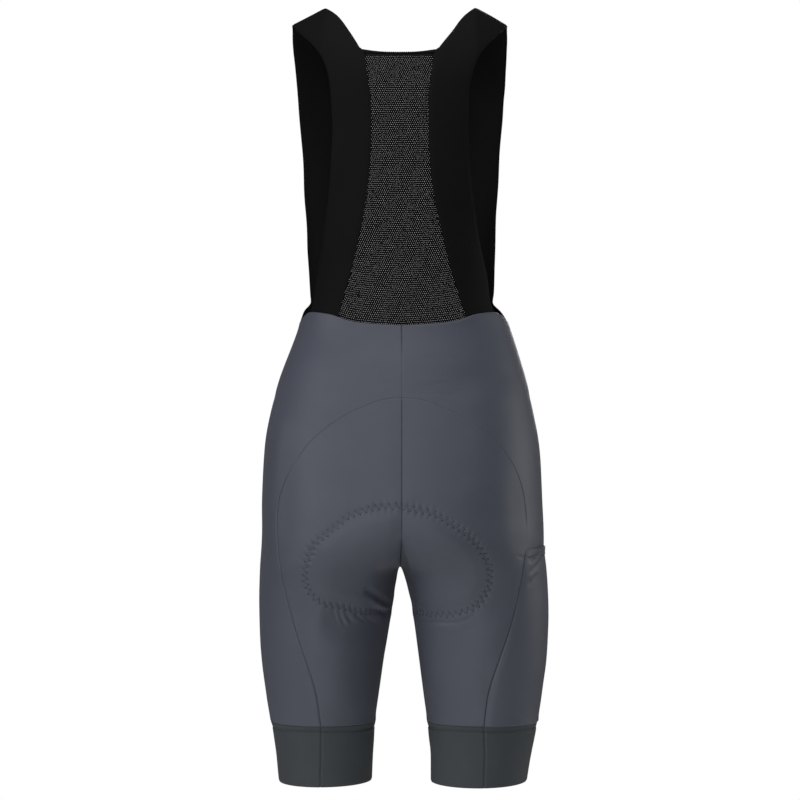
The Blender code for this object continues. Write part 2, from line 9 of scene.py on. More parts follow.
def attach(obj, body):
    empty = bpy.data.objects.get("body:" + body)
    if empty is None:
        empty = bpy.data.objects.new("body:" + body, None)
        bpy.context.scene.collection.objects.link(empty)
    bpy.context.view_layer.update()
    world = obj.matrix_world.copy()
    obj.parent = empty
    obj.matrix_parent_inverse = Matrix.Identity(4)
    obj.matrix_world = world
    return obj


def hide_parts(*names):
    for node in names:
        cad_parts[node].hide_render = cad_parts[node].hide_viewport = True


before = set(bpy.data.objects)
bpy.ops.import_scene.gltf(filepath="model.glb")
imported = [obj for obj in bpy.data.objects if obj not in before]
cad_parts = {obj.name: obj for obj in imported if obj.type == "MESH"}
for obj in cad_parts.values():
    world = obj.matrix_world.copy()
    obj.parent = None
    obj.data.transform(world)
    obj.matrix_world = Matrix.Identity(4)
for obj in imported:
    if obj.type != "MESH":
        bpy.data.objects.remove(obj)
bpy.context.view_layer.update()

# Metres, +Z up. The back faces -Y and the wearer's right side is at +X. The origin lies
# between the tops of the two shoulder straps.

# The worn form: the rings that the garment fills out, and the seams that lie on them
wornForm = {
    # level rings: height, outermost x, innermost x, depth back, depth front, middle, fullness
    "rings": (
        (0.0100, 0.1500, -0.1500, 0.086, 0.080, 0.000, 0.08),
        (-0.0600, 0.1500, -0.1500, 0.089, 0.092, 0.000, 0.08),
        (-0.1200, 0.1460, -0.1460, 0.093, 0.100, 0.000, 0.08),
        (-0.2000, 0.1320, -0.1320, 0.094, 0.105, 0.000, 0.08),
        (-0.2800, 0.1190, -0.1190, 0.090, 0.105, 0.000, 0.08),
        (-0.3400, 0.1160, -0.1160, 0.086, 0.102, 0.000, 0.08),
        (-0.3744, 0.1230, -0.1230, 0.086, 0.101, 0.000, 0.08),
        (-0.3984, 0.1308, -0.1302, 0.091, 0.102, 0.000, 0.08),
        (-0.4224, 0.1392, -0.1340, 0.099, 0.104, 0.000, 0.08),
        (-0.4464, 0.1474, -0.1380, 0.1045, 0.106, 0.000, 0.08),
        (-0.4704, 0.1535, -0.1400, 0.1100, 0.108, 0.000, 0.08),
        (-0.5184, 0.1630, -0.1380, 0.1200, 0.108, 0.000, 0.07),
        (-0.5600, 0.1660, -0.1320, 0.1275, 0.106, 0.001, 0.06),
        (-0.6000, 0.1680, -0.1180, 0.1320, 0.103, 0.002, 0.05),
        (-0.6200, 0.1685, -0.1020, 0.1325, 0.101, 0.003, 0.05),
        (-0.6384, 0.1690, -0.0740, 0.1285, 0.098, 0.004, 0.05),
        (-0.6560, 0.1703, -0.0300, 0.1185, 0.095, 0.005, 0.04),
        (-0.6684, 0.1711, 0.0000, 0.1100, 0.093, 0.005, 0.04),
        (-0.6864, 0.1718, 0.0058, 0.1015, 0.091, 0.006, 0.04),
        (-0.7104, 0.1722, 0.0102, 0.0950, 0.088, 0.006, 0.04),
        (-0.7344, 0.1718, 0.0140, 0.0900, 0.085, 0.006, 0.03),
        (-0.7824, 0.1700, 0.0212, 0.0825, 0.079, 0.007, 0.03),
        (-0.8304, 0.1640, 0.0280, 0.075, 0.072, 0.008, 0.03),
        (-0.8556, 0.1604, 0.0314, 0.071, 0.068, 0.008, 0.03),
        (-0.8784, 0.1566, 0.0333, 0.067, 0.065, 0.008, 0.03),
        (-0.8904, 0.1542, 0.0345, 0.065, 0.063, 0.008, 0.03),
        (-0.9264, 0.1494, 0.0366, 0.062, 0.060, 0.008, 0.03),
    ),
    # upper edge of the shorts: degrees from the centre back, height
    "waist": ((0, -0.3830), (18, -0.3805), (31, -0.3762), (40, -0.3697), (50, -0.3672),
              (58, -0.3660), (65, -0.3660), (72, -0.3700), (80, -0.3745), (90, -0.3790),
              (108, -0.3855), (140, -0.3970), (180, -0.4080)),
    # arched seam on the back: height, x
    "seatSeam": ((-0.4727, 0.0309), (-0.4850, 0.0608), (-0.4994, 0.0835), (-0.5158, 0.1036),
                 (-0.5329, 0.1176), (-0.5511, 0.1295), (-0.5862, 0.1425), (-0.6128, 0.1453),
                 (-0.6440, 0.1443), (-0.6726, 0.1407), (-0.6987, 0.1350), (-0.7247, 0.1287),
                 (-0.7744, 0.1132), (-0.7983, 0.1056), (-0.8226, 0.0999), (-0.8556, 0.0962)),
    "crotch": -0.6684,
    "archTop": -0.4681,
    "yokeLevel": -0.4500,
    "bandTop": -0.8556,
    "hem": -0.9264,
    "seamGap": 0.00002,      # between two pieces at a seam
    "evenOut": 0.007,        # how far the rings are smoothed into each other
    "evenOutInside": 0.002,  # the same for the very inside of the legs
    "insidePower": 12,       # the higher, the less of the ring follows that inside
    "evenOutWaist": 3.0,     # degrees
    "evenOutSeam": 0.004,
}


def monotoneCurve(places, values):
    # cubic through the points that never overshoots, straight on beyond its ends
    order = np.argsort(places)
    at = np.asarray(places, float)[order]
    value = np.asarray(values, float)[order]
    step = np.diff(at)
    slope = np.diff(value) / step
    tangent = np.zeros(len(at))
    w1 = 2 * step[1:] + step[:-1]
    w2 = step[1:] + 2 * step[:-1]
    same = slope[:-1] * slope[1:] > 0
    safe = np.where(same, slope[:-1], 1.0), np.where(same, slope[1:], 1.0)
    tangent[1:-1] = np.where(same, (w1 + w2) / (w1 / safe[0] + w2 / safe[1]), 0.0)
    tangent[0] = slope[0]
    tangent[-1] = slope[-1]

    def curve(place):
        place = np.asarray(place, float)
        inside = np.clip(place, at[0], at[-1])
        i = np.clip(np.searchsorted(at, inside) - 1, 0, len(step) - 1)
        t = (inside - at[i]) / step[i]
        result = (1 + 2 * t) * (1 - t) ** 2 * value[i] + t * (1 - t) ** 2 * step[i] * tangent[i]
        result = result + t * t * (3 - 2 * t) * value[i + 1]
        result = result - t * t * (1 - t) * step[i] * tangent[i + 1]
        result = result + np.minimum(place - at[0], 0) * tangent[0]
        return result + np.maximum(place - at[-1], 0) * tangent[-1]

    return curve


def evenCurve(rows, column, spread, pitch=0.0005):
    # the same through one column of a table, with its bends evened out
    places = [row[0] for row in rows]
    rough = monotoneCurve(places, [row[column] for row in rows])
    pad = 4 * spread
    at = np.arange(min(places) - pad, max(places) + pad, pitch)
    far = math.ceil(3 * spread / pitch)
    reach = np.arange(-far, far + 1) * pitch
    weight = np.exp(-0.5 * (reach / spread) ** 2)
    table = rough(at[:, None] + reach[None, :]) @ (weight / weight.sum())
    return lambda place: np.interp(place, at, table)


ringCurves = [evenCurve(wornForm["rings"], k, wornForm["evenOut"]) for k in range(1, 7)]
insideCurve = evenCurve(wornForm["rings"], 2, wornForm["evenOutInside"])
waistCurve = evenCurve(wornForm["waist"], 1, wornForm["evenOutWaist"], 0.25)
seamCurve = evenCurve(wornForm["seatSeam"], 1, wornForm["evenOutSeam"])


def softStep(t):
    t = np.clip(t, 0.0, 1.0)
    return t * t * (3 - 2 * t)


def blend(a, b, t):
    return a + (b - a) * t


def ringX(height, angle):
    side, inner = ringCurves[0](height), ringCurves[1](height)
    full = ringCurves[5](height)
    x = (side + inner) / 2 + (side - inner) / 2 * np.cos(angle) * (1 + full * np.sin(angle) ** 2)
    share = (0.5 - 0.5 * np.cos(angle)) ** wornForm["insidePower"]
    return x + (insideCurve(height) - inner) * share


def ringPoint(height, angle):
    # angle 0 is the outer side, -pi/2 the back and +pi/2 the front
    back, front, middle, full = (curve(height) for curve in ringCurves[2:])
    sine = np.sin(angle)
    depth = np.where(sine < 0, back, front)
    y = middle + depth * sine * (1 + full * np.cos(angle) ** 2)
    return np.stack(np.broadcast_arrays(ringX(height, angle), y, height), axis=-1)


def angleAt(height, x):
    # angle on the back of the ring at which it lies at this x
    height, x = np.broadcast_arrays(np.asarray(height, float), np.asarray(x, float))
    low = np.full(height.shape, -math.pi)
    high = np.zeros(height.shape)
    for _ in range(44):      # each turn halves what is left
        middle = (low + high) / 2
        beyond = ringX(height, middle) > x
        high = np.where(beyond, middle, high)
        low = np.where(beyond, low, middle)
    return np.where(ringX(height, -math.pi + 0 * x) >= x, -math.pi, (low + high) / 2)


def seatSeamX(height):
    # a round crown from the centre back, then the table
    crownHeight, crownX = wornForm["seatSeam"][0]
    fall = np.clip((wornForm["archTop"] - height) / (wornForm["archTop"] - crownHeight), 0, None)
    return np.where(fall < 1, crownX * np.sqrt(np.minimum(fall, 1)), seamCurve(height))


def waistHeight(angle):
    return waistCurve(np.clip(90 + np.degrees(angle), 0.0, 180.0))


def unit(vectors):
    return vectors / np.linalg.norm(vectors, axis=-1, keepdims=True)


def bodyNormal(height, angle):
    along = ringPoint(height, angle + 2e-3) - ringPoint(height, angle - 2e-3)
    up = ringPoint(height + 7e-4, angle) - ringPoint(height - 7e-4, angle)
    return unit(np.cross(along, up))


print("worn form ready")

# Relief of the cloth: seams, the stitched line of the pad, and creases
seamLook = {
    # how far each seam pulls the cloth in: height, depth in millimetres
    "centreBack": ((-0.380, 1.6), (-0.404, 1.4), (-0.416, 0.2), (-0.462, 0.2), (-0.470, 0.5),
                   (-0.560, 0.5), (-0.668, 0.8)),
    "centreFront": ((-0.408, 0.8), (-0.668, 0.8)),
    "arch": ((-0.468, 0.45), (-0.520, 0.35), (-0.570, 0.5), (-0.640, 0.7), (-0.856, 0.8)),
    "inseam": ((-0.668, 0.9), (-0.856, 0.9)),
    "edges": 1.1,            # at the waist and where the bands begin
    "width": 0.0006,
    "widthOuter": 0.0013,    # on the outer panel and the pocket, along the leg
    "widthFrom": -0.57,      # height below which it takes over, and the run of the change
    "widthRun": 0.06,
    "calmFrom": -0.608,      # the right leg seam is faint above the pocket
    "calmTo": -0.652,
    "calmShare": 0.25,
    "calmRuns": (0.012, 0.006),
    "lap": 0.00022,          # the seat lies over the yoke along the arch
    "lapReach": 0.0022,
    "lapBalance": 0.3,       # share of it by which both sides are lower
    "lapEnd": -0.60,
    "lapRun": 0.06,
}

padSeam = {
    # line of the zigzag stitching, x and height in millimetres, from the centre back down
    "right": ((8.6, -595.2), (25.1, -598.5), (39.4, -603.2), (58.1, -613.9), (74.8, -625.8),
              (89.3, -640.5), (99.0, -656.3), (102.6, -670.8), (101.6, -687.6), (94.5, -700.9),
              (82.7, -713.1), (66.0, -719.4), (44.6, -721.5), (25.7, -722.0)),
    "left": ((22.1, -593.7), (41.1, -597.2), (59.9, -604.2), (76.5, -616.4), (90.9, -628.3),
             (103.0, -640.6), (109.1, -656.5), (111.7, -670.9), (109.4, -687.7), (102.2, -699.8),
             (89.2, -708.2), (72.5, -712.0), (55.9, -716.5), (37.0, -720.6), (24.0, -722.5)),
    "inseam": -721.5,
    # the same on the front, from the inseam up to the centre front
    "front": ((30.0, -716.5), (42.0, -708.0), (48.5, -697.0), (50.0, -684.0), (49.0, -668.0),
              (46.5, -654.0), (42.5, -640.0), (37.0, -627.0), (29.0, -614.0), (20.0, -604.0),
              (9.0, -597.0)),
    "topBack": -592.9,
    "topFront": -594.0,
    "swell": 0.0019,         # how far the pad pushes the cloth out
    "swellEdge": 0.0036,
    "swellRun": 0.0150,
    "channel": 0.0007,       # how deep the stitching sits
    "channelWidth": 0.0040,
    "calmCentre": 0.016,     # half width beside the centre seam where it lies flatter
    "calmStart": 0.002,
    "calmShare": 0.4,
    "top": -0.57,            # heights between which the pad shapes the cloth
    "bottom": -0.75,
    "step": 0.0005,          # from point to point along the line
    "margin": 5,             # points left free at its ends
    "stroke": 0.0040,        # length along the line of one stroke of the zigzag
    "pucker": 0.00055,       # the cloth stands up between the corners
    "puckerReach": 0.0058,
    "puckerUneven": 0.5,
    "puckerWaves": 39.0,
}

# Creases, listed one by one: depth and width, then the path, all in millimetres. The path is x
# and height on the back and the front, y and height on the sides. A depth above 0 is a
# trough, below 0 a ridge.
creases = {
    "back": (
        # fold below the pad on the right leg
        (1.1, 1.9, (16, -732), (41, -731), (63, -731), (77, -726), (88, -717)),
        (-0.6, 4.0, (14, -738), (41, -737), (65, -736), (82, -729)),
        # puckers below the pad on the left leg
        (0.5, 1.5, (-80, -716), (-79, -722), (-76, -731)),
        (-0.4, 1.6, (-77, -715), (-75, -723), (-70, -736)),
        (0.8, 1.6, (-74, -715), (-72, -724), (-66, -738)),
        (-0.5, 1.6, (-70, -716), (-68, -724), (-61, -736)),
        (0.8, 1.7, (-66, -717), (-63, -725), (-57, -734)),
        (-0.4, 1.7, (-61, -718), (-57, -725), (-50, -732)),
        (0.7, 1.9, (-56, -718), (-50, -726), (-38, -735)),
        (0.6, 2.2, (-46, -722), (-36, -731), (-24, -738)),
        # creases that run into the left inner thigh
        (2.6, 4.6, (-46, -690), (-31, -700), (-12, -716)),
        (-1.6, 3.0, (-38, -706), (-25, -712), (-11, -723)),
        (1.3, 2.8, (-40, -716), (-26, -720), (-11, -731)),
        (2.6, 13.0, (0, -625), (-1, -645), (-2, -668), (-4, -716)),
        (2.4, 16.0, (-10, -660), (-16, -700), (-22, -760), (-30, -840)),
        # the left half of the pad turns down towards its lower edge
        (-1.6, 20.0, (-100, -670), (-60, -667), (-18, -670)),
        (2.2, 18.0, (-98, -722), (-60, -730), (-20, -734)),
        (-1.8, 16.0, (-66, -740), (-68, -790), (-68, -850)),
        (1.2, 3.0, (0, -628), (0, -655), (0, -690)),
        # the same, shallower, on the right inner thigh
        (-1.3, 3.6, (1, -640), (9, -658), (15, -684)),
        (0.8, 2.6, (9, -690), (18, -704), (34, -713)),
        (-0.5, 2.0, (10, -699), (17, -709), (28, -716)),
        # faint drag lines on the yoke
        (0.35, 1.8, (4, -462), (22, -459), (42, -457)),
        (0.3, 1.8, (18, -455), (34, -453), (54, -448)),
        (-0.25, 2.2, (8, -449), (30, -447), (58, -448)),
        (0.2, 1.5, (-34, -452), (-22, -450), (-8, -451)),
        (0.2, 1.4, (-32, -444), (-20, -443), (-10, -444)),
        (0.25, 2.4, (4, -466), (34, -463), (70, -466)),
        (0.25, 4.0, (20, -424), (44, -421), (66, -423)),
        (0.25, 5.0, (-70, -440), (-44, -433), (-18, -431)),
        (0.2, 5.0, (-12, -455), (-8, -420), (-9, -392)),
        # soft hollows of the seat and the backs of the thighs
        (-1.6, 15.0, (0, -560), (0, -600), (0, -628), (0, -660)),
        (1.2, 15.0, (62, -735), (96, -728), (128, -700)),
        (1.2, 15.0, (-62, -738), (-96, -730), (-128, -702)),
        (1.0, 12.0, (128, -560), (136, -610), (133, -655)),
        (-2.6, 10.0, (-136, -480), (-145, -520), (-149, -570), (-150, -620), (-149, -670)),
        # the left thigh turns away towards its inside, the right one is fuller there
        (-4.0, 34.0, (-112, -620), (-108, -700), (-100, -780), (-94, -860)),
        (-2.8, 26.0, (34, -650), (36, -710), (42, -780), (46, -850)),
        # the right half of the seat is flatter
        (-3.8, 36.0, (96, -440), (102, -490), (104, -550), (102, -610)),
        (0.5, 9.0, (92, -770), (100, -800), (104, -840)),
        (0.5, 9.0, (-88, -765), (-97, -800), (-100, -840)),
        # drawn folds below the mouth of the pocket
        (1.2, 2.0, (163, -652), (156, -655), (147, -659)),
        (1.0, 2.2, (165, -657), (157, -666), (147, -675)),
        (0.8, 2.0, (157, -673), (151, -682), (146, -690)),
        (-0.8, 2.4, (164, -654), (155, -661), (147, -666)),
        (-0.6, 2.2, (160, -668), (153, -675), (147, -681)),
        (0.6, 1.5, (134, -653), (139, -654), (143, -656)),
    ),
    "front": (
        # the bend of the groin and the pull round the pad
        (1.7, 7.0, (22, -640), (62, -600), (104, -566), (140, -548)),
        (1.6, 7.5, (-20, -642), (-60, -604), (-100, -567), (-138, -552)),
        (-0.9, 7.0, (30, -655), (72, -622), (112, -600)),
        (-0.9, 7.0, (-32, -657), (-74, -620), (-110, -601)),
        (0.9, 3.4, (44, -700), (66, -704), (92, -698)),
        (0.8, 3.2, (-46, -702), (-70, -703), (-95, -695)),
        (0.7, 3.0, (28, -724), (52, -731), (84, -733)),
        (0.8, 2.8, (-28, -726), (-50, -734), (-78, -739)),
        (0.4, 6.0, (60, -470), (30, -480), (6, -482)),
        (0.4, 6.0, (-66, -462), (-34, -473), (-8, -474)),
        (0.5, 9.0, (80, -760), (92, -790), (94, -830)),
        (0.5, 9.0, (-84, -755), (-92, -790), (-96, -835)),
    ),
    "right": (
        # shallow drags from the hip
        (0.4, 6.0, (-40, -455), (0, -470), (46, -476)),
        (0.8, 6.0, (30, -560), (56, -585), (76, -596)),
        # the mouth of the pocket draws the cloth in
        (0.9, 9.0, (-84, -650), (-40, -653), (10, -654), (56, -652)),
    ),
    "left": (
        (0.4, 6.0, (-46, -450), (-4, -468), (40, -480)),
        (0.8, 6.0, (28, -562), (54, -584), (76, -600)),
    ),
}
creaseSides = {"back": (1, -1), "front": (1, 1), "right": (0, 1), "left": (0, -1)}  # axis, sign
creaseFade = {
    "endDepth": 0.05,        # share left at the very ends of a path
    "endRun": 0.25,          # share of the path over which it grows to its full depth
    "facing": 0.02,          # how far the cloth has to face the crease's side
    "facingRun": 0.3,
    "points": 22,            # along each path
}


def startAngle(height):
    return angleAt(height, 0.0)


def smoothPath(points, count):
    # Catmull-Rom through the points
    points = np.asarray(points, float)
    padded = np.vstack((2 * points[0] - points[1], points, 2 * points[-1] - points[-2]))
    t = np.linspace(0, len(points) - 1 - 1e-9, count)
    i = t.astype(int)
    t = (t - i)[:, None]
    a, b, c, d = (padded[i + k] for k in range(4))
    return 0.5 * (2 * b + (c - a) * t + (2 * a - 5 * b + 4 * c - d) * t * t
                  + (3 * b - a - 3 * c + d) * t ** 3)


def lineDistance(places, path):
    # distance of flat places from a path, and how far along it the nearest point is
    start, end = path[:-1], path[1:]
    run = end - start
    reach = places[:, None, :] - start[None]
    t = np.clip((reach * run).sum(-1) / (run * run).sum(-1), 0, 1)
    away = np.linalg.norm(reach - t[..., None] * run, axis=-1)
    nearest = away.argmin(axis=1)
    row = np.arange(len(places))
    return away[row, nearest], (nearest + t[row, nearest]) / len(run)


def nearestOn(tree, points):
    found = [tree.find(point)[1:] for point in points]
    index = np.array([item[0] for item in found])
    return np.array([item[1] for item in found]), index


def treeOf(points):
    tree = KDTree(len(points))
    for i, point in enumerate(points):
        tree.insert(point, i)
    tree.balance()
    return tree


def towards(first, last, count):
    # values that bunch up at the first one
    return first + (last - first) * np.linspace(0, 1, count) ** 2


def alongLine(points):
    # how far along the line each of its points lies
    return np.concatenate(([0], np.cumsum(np.linalg.norm(np.diff(points, axis=0), axis=1))))


def bothSides(points):
    return np.vstack((points, points * (-1, 1, 1)))


def shortsSeams():
    crotch, bandTop = wornForm["crotch"], wornForm["bandTop"]
    back = towards(crotch, waistHeight(-math.pi / 2), 700)
    front = towards(crotch, waistHeight(math.pi / 2), 700)
    arch = towards(wornForm["archTop"], bandTop, 1200)
    inseam = np.linspace(crotch, bandTop, 400)
    turn = np.linspace(-math.pi / 2, math.pi / 2, 700)
    lines = [ringPoint(back, startAngle(back)), ringPoint(front, -startAngle(front)),
             ringPoint(arch, angleAt(arch, seatSeamX(arch))), ringPoint(inseam, -math.pi),
             ringPoint(waistHeight(turn), turn),
             ringPoint(bandTop, np.linspace(-math.pi, math.pi, 900))]
    depths = []
    for line, key in zip(lines, ("centreBack", "centreFront", "arch", "inseam")):
        height, depth = np.array(seamLook[key][::-1]).T
        depths.append(np.interp(line[:, 2], height, depth))
    calm = softStep((seamLook["calmFrom"] - arch) / seamLook["calmRuns"][0])
    calm = calm * softStep((arch - seamLook["calmTo"]) / seamLook["calmRuns"][1])
    archRight = depths[2] * blend(1.0, seamLook["calmShare"], calm)
    depths += [np.full(len(line), seamLook["edges"]) for line in lines[4:]]
    widths = [np.full(len(line), seamLook["width"]) for line in lines]
    below = softStep((seamLook["widthFrom"] - arch) / seamLook["widthRun"])
    widths[2] = blend(seamLook["width"], seamLook["widthOuter"], below)
    right = np.concatenate(depths[:2] + [archRight] + depths[3:])
    depths = np.concatenate((right, np.concatenate(depths))) / 1000
    return bothSides(np.vstack(lines)), depths, np.tile(np.concatenate(widths), 2)


seamPoints, seamDepths, outerWidths = shortsSeams()
seamTree = treeOf(seamPoints)
archLine = np.linspace(wornForm["archTop"], seamLook["lapEnd"], 600)
archTree = treeOf(bothSides(ringPoint(archLine, angleAt(archLine, seatSeamX(archLine)))))


def padLine(side):
    # the zigzag's centre line as heights and angles, evenly spaced along the cloth
    backRows = np.array(padSeam[side]) / 1000
    frontRows = np.array(padSeam["front"]) / 1000
    top, bottom = padSeam["topBack"] / 1000, padSeam["inseam"] / 1000
    end = padSeam["topFront"] / 1000
    spots = [(top, float(startAngle(top)))]
    spots += [(h, float(angleAt(h, x))) for x, h in backRows]
    spots += [(bottom, -math.pi)]
    spots += [(h, -2 * math.pi - float(angleAt(h, x))) for x, h in frontRows]
    spots += [(end, -2 * math.pi - float(startAngle(end)))]
    fine = smoothPath(spots, 3000)
    along = alongLine(ringPoint(fine[:, 0], fine[:, 1]))
    even = np.linspace(0, along[-1], int(along[-1] / padSeam["step"]))
    return np.stack([np.interp(even, along, fine[:, k]) for k in (0, 1)], axis=1)


padLines = {1: padLine("right"), -1: padLine("left")}


def padStrokes(side):
    return round(len(padLines[side]) * padSeam["step"] / padSeam["stroke"])


padTrees = {side: treeOf(ringPoint(line[:, 0], line[:, 1]) * (side, 1, 1))
            for side, line in padLines.items()}


def insidePad(height, angle, side):
    # crossing test on the panel laid flat as height and angle, with every twelfth point
    line = padLines[side][::12]
    turned = np.where(angle > 0, angle - 2 * math.pi, angle)
    inside = np.zeros(height.shape, bool)
    for (h1, a1), (h2, a2) in zip(line, np.roll(line, -1, axis=0)):
        if h1 != h2:
            spans = (h1 > height) != (h2 > height)
            inside ^= spans & (turned < a1 + (height - h1) * (a2 - a1) / (h2 - h1))
    return inside


def padRelief(points, height, angle, side):
    look = padSeam
    near = (height < look["top"]) & (height > look["bottom"])
    away, index = nearestOn(padTrees[side], points[near])
    inside = insidePad(height[near], angle[near], side)
    fromCentre = softStep((np.abs(points[near, 0]) - look["calmStart"]) / look["calmCentre"])
    swell = look["swell"] * softStep((away - look["swellEdge"]) / look["swellRun"])
    swell = swell * blend(look["calmShare"], 1.0, fromCentre)
    channel = look["channel"] * np.exp(-(away / look["channelWidth"]) ** 2)
    along = (index - look["margin"]) / (len(padLines[side]) - 1 - 2 * look["margin"])
    wave = np.cos(math.pi * padStrokes(side) * along) * np.where(inside, -1.0, 1.0)
    uneven = 1 + look["puckerUneven"] * np.sin(along * look["puckerWaves"] + side)
    pucker = look["pucker"] * uneven * wave * away / (away + 0.001)
    pucker = pucker * np.exp(-(away / look["puckerReach"]) ** 2)
    result = np.zeros(len(points))
    result[near] = np.where(inside, swell, 0.0) - channel + pucker
    return result


def creaseRelief(points, normals):
    # a crease dies out at the ends of its path and where the cloth turns out of sight
    result = np.zeros(len(points))
    fade = creaseFade
    for on, rows in creases.items():
        axis, sign = creaseSides[on]
        toward = normals[:, axis] * sign
        places = points[:, (1 - axis, 2)]
        for depth, width, *path in rows:
            path = smoothPath(np.array(path) / 1000, fade["points"])
            width = width / 1000
            low, high = path.min(axis=0) - 3 * width, path.max(axis=0) + 3 * width
            near = np.all((places > low) & (places < high), axis=1) & (toward > fade["facing"])
            if near.any():
                away, along = lineDistance(places[near], path)
                ends = softStep(np.minimum(along, 1 - along) / fade["endRun"] + fade["endDepth"])
                seen = softStep((toward[near] - fade["facing"]) / fade["facingRun"])
                result[near] -= depth / 1000 * np.exp(-(away / width) ** 2) * ends * seen
    return result


def seamRelief(points, outerPanel):
    away, index = nearestOn(seamTree, points)
    width = outerWidths[index] if outerPanel else seamLook["width"]
    return -seamDepths[index] * np.exp(-(away / width) ** 2)


def lapRelief(points, over):
    # the seat stands up along the arch and the yoke is pressed down below it
    result = np.zeros(len(points))
    near = points[:, 2] > seamLook["lapEnd"]
    away, _ = nearestOn(archTree, points[near])
    fade = softStep((points[near, 2] - seamLook["lapEnd"]) / seamLook["lapRun"])
    rise = seamLook["lap"] * (over - seamLook["lapBalance"])
    result[near] = rise * fade * np.exp(-(away / seamLook["lapReach"]) ** 2)
    return result


def wornSurface(height, angle, side, lift=0.0, atCentre=None, over=None):
    # points and normals of the outer face, for any arrays of heights and angles; over is 1
    # on the seat, 0 on the side panel and the pocket, and left out for what lies elsewhere
    height, angle = np.broadcast_arrays(np.asarray(height, float), np.asarray(angle, float))
    shape = height.shape
    height, angle = height.ravel(), angle.ravel()
    points = ringPoint(height, angle)
    normals = bodyNormal(height, angle)
    if atCentre is not None:
        # on the centre plane the wall keeps its thickness, at most doubled along the normal
        centre = atCentre.ravel()
        flat = normals[centre] * (0, 1, 1)
        size = np.linalg.norm(flat, axis=1, keepdims=True)
        normals[centre] = flat / size * np.minimum(1 / size, 2.0)
        points[centre, 0] = wornForm["seamGap"] / 2
    points = points * (side, 1, 1)
    normals = normals * (side, 1, 1)
    relief = seamRelief(points, over == 0.0) + creaseRelief(points, normals)
    relief += padRelief(points, height, angle, side)
    if over is not None:
        relief += lapRelief(points, over)
    relief += np.broadcast_to(lift, shape).ravel()
    points = points + normals * relief[:, None]
    return points.reshape(*shape, 3), normals.reshape(*shape, 3)


print("relief ready")

# Cloth walls
clothLook = {
    "shorts": 0.0009,        # thickness of the stretch knit
    "bib": 0.0010,
    "band": 0.0013,
    "net": 0.0005,
    "seatColumns": 104,      # columns between the close ones at the edges
    "sideColumns": 112,
    "pocketColumns": 58,
    "rowPitch": 0.0023,
    "padPitch": 0.0015,      # rows round the seat pad, between the two heights
    "fineTop": -0.586,
    "fineBottom": -0.738,
    "edgeShare": 0.3,        # of a row that the close columns beside an edge may take
    "uvRadius": 0.085,       # turns an angle into a width on the flat cloth
    "sharp": 62,             # degrees from which an edge of a wall stays sharp
}
edgeSteps = np.array((0.0, 0.0004, 0.0009, 0.0015, 0.0023, 0.0034))    # rows beside an edge


def addPiece(name, data):
    piece = bpy.data.objects.new(name, data)
    bpy.context.scene.collection.objects.link(piece)
    return piece


def clothWall(name, outer, inner, faces, uv, material, flip=False):
    # a closed wall between two faces of the cloth that share the same quads
    outer, inner, uv = (np.asarray(item).reshape(-1, item.shape[-1])
                        for item in (outer, inner, uv))
    _, first, index = np.unique(np.round(outer / 2e-6).astype(np.int64), axis=0,
                                return_index=True, return_inverse=True)
    index = index.ravel()
    count = len(first)
    tops, uvs, edges = [], [], {}
    for face in faces:
        corners = [int(index[k]) for k in face]
        kept = [k for k, corner in enumerate(corners) if corner != corners[k - 1]]
        if len(kept) < 3 or len({corners[k] for k in kept}) < 3:
            continue
        if flip:
            kept = kept[::-1]
        tops.append([corners[k] for k in kept])
        uvs.append([tuple(uv[face[k]]) for k in kept])
        for k, corner in enumerate(tops[-1]):
            edges[(tops[-1][k - 1], corner)] = (uvs[-1][k - 1], uvs[-1][k])
    allFaces = tops + [[corner + count for corner in reversed(top)] for top in tops]
    allUvs = uvs + [list(reversed(item)) for item in uvs]
    for (start, end), (uvStart, uvEnd) in edges.items():
        if (end, start) not in edges:
            allFaces.append([end, start, start + count, end + count])
            allUvs.append([uvEnd, uvStart, uvStart, uvEnd])
    mesh = bpy.data.meshes.new(name)
    mesh.from_pydata(np.vstack((outer[first], inner[first])).tolist(), [], allFaces)
    layer = mesh.uv_layers.new(name="clothUV")
    layer.data.foreach_set("uv", np.array([c for item in allUvs for c in item]).ravel())
    mesh.validate()
    mesh.materials.append(material)
    mesh.shade_smooth()
    mesh.set_sharp_from_angle(angle=math.radians(clothLook["sharp"]))
    return addPiece(name, mesh)


def gridFaces(rows, columns, closed=False, offset=0):
    i, j = np.meshgrid(np.arange(rows - 1), np.arange(columns if closed else columns - 1),
                       indexing="ij")
    k = (j + 1) % columns
    quads = np.stack((i * columns + j, (i + 1) * columns + j, (i + 1) * columns + k,
                      i * columns + k), axis=-1)
    return (quads.reshape(-1, 4) + offset).tolist()


# How the filled-out garment leans off its even form
leanLook = {
    "evenOut": 0.004,
    "bibLevel": -0.375,      # above it the share is counted across the bib
    "bibRun": 0.012,
    "bibInner": 0.050,
    "bibOuter": 0.112,
    "most": 1.15,            # largest share, past the outer edge
    "gapReach": (0.006, 0.6),    # how far the parting beside the gap reaches, and its growth
    "gapRun": 0.002,
}
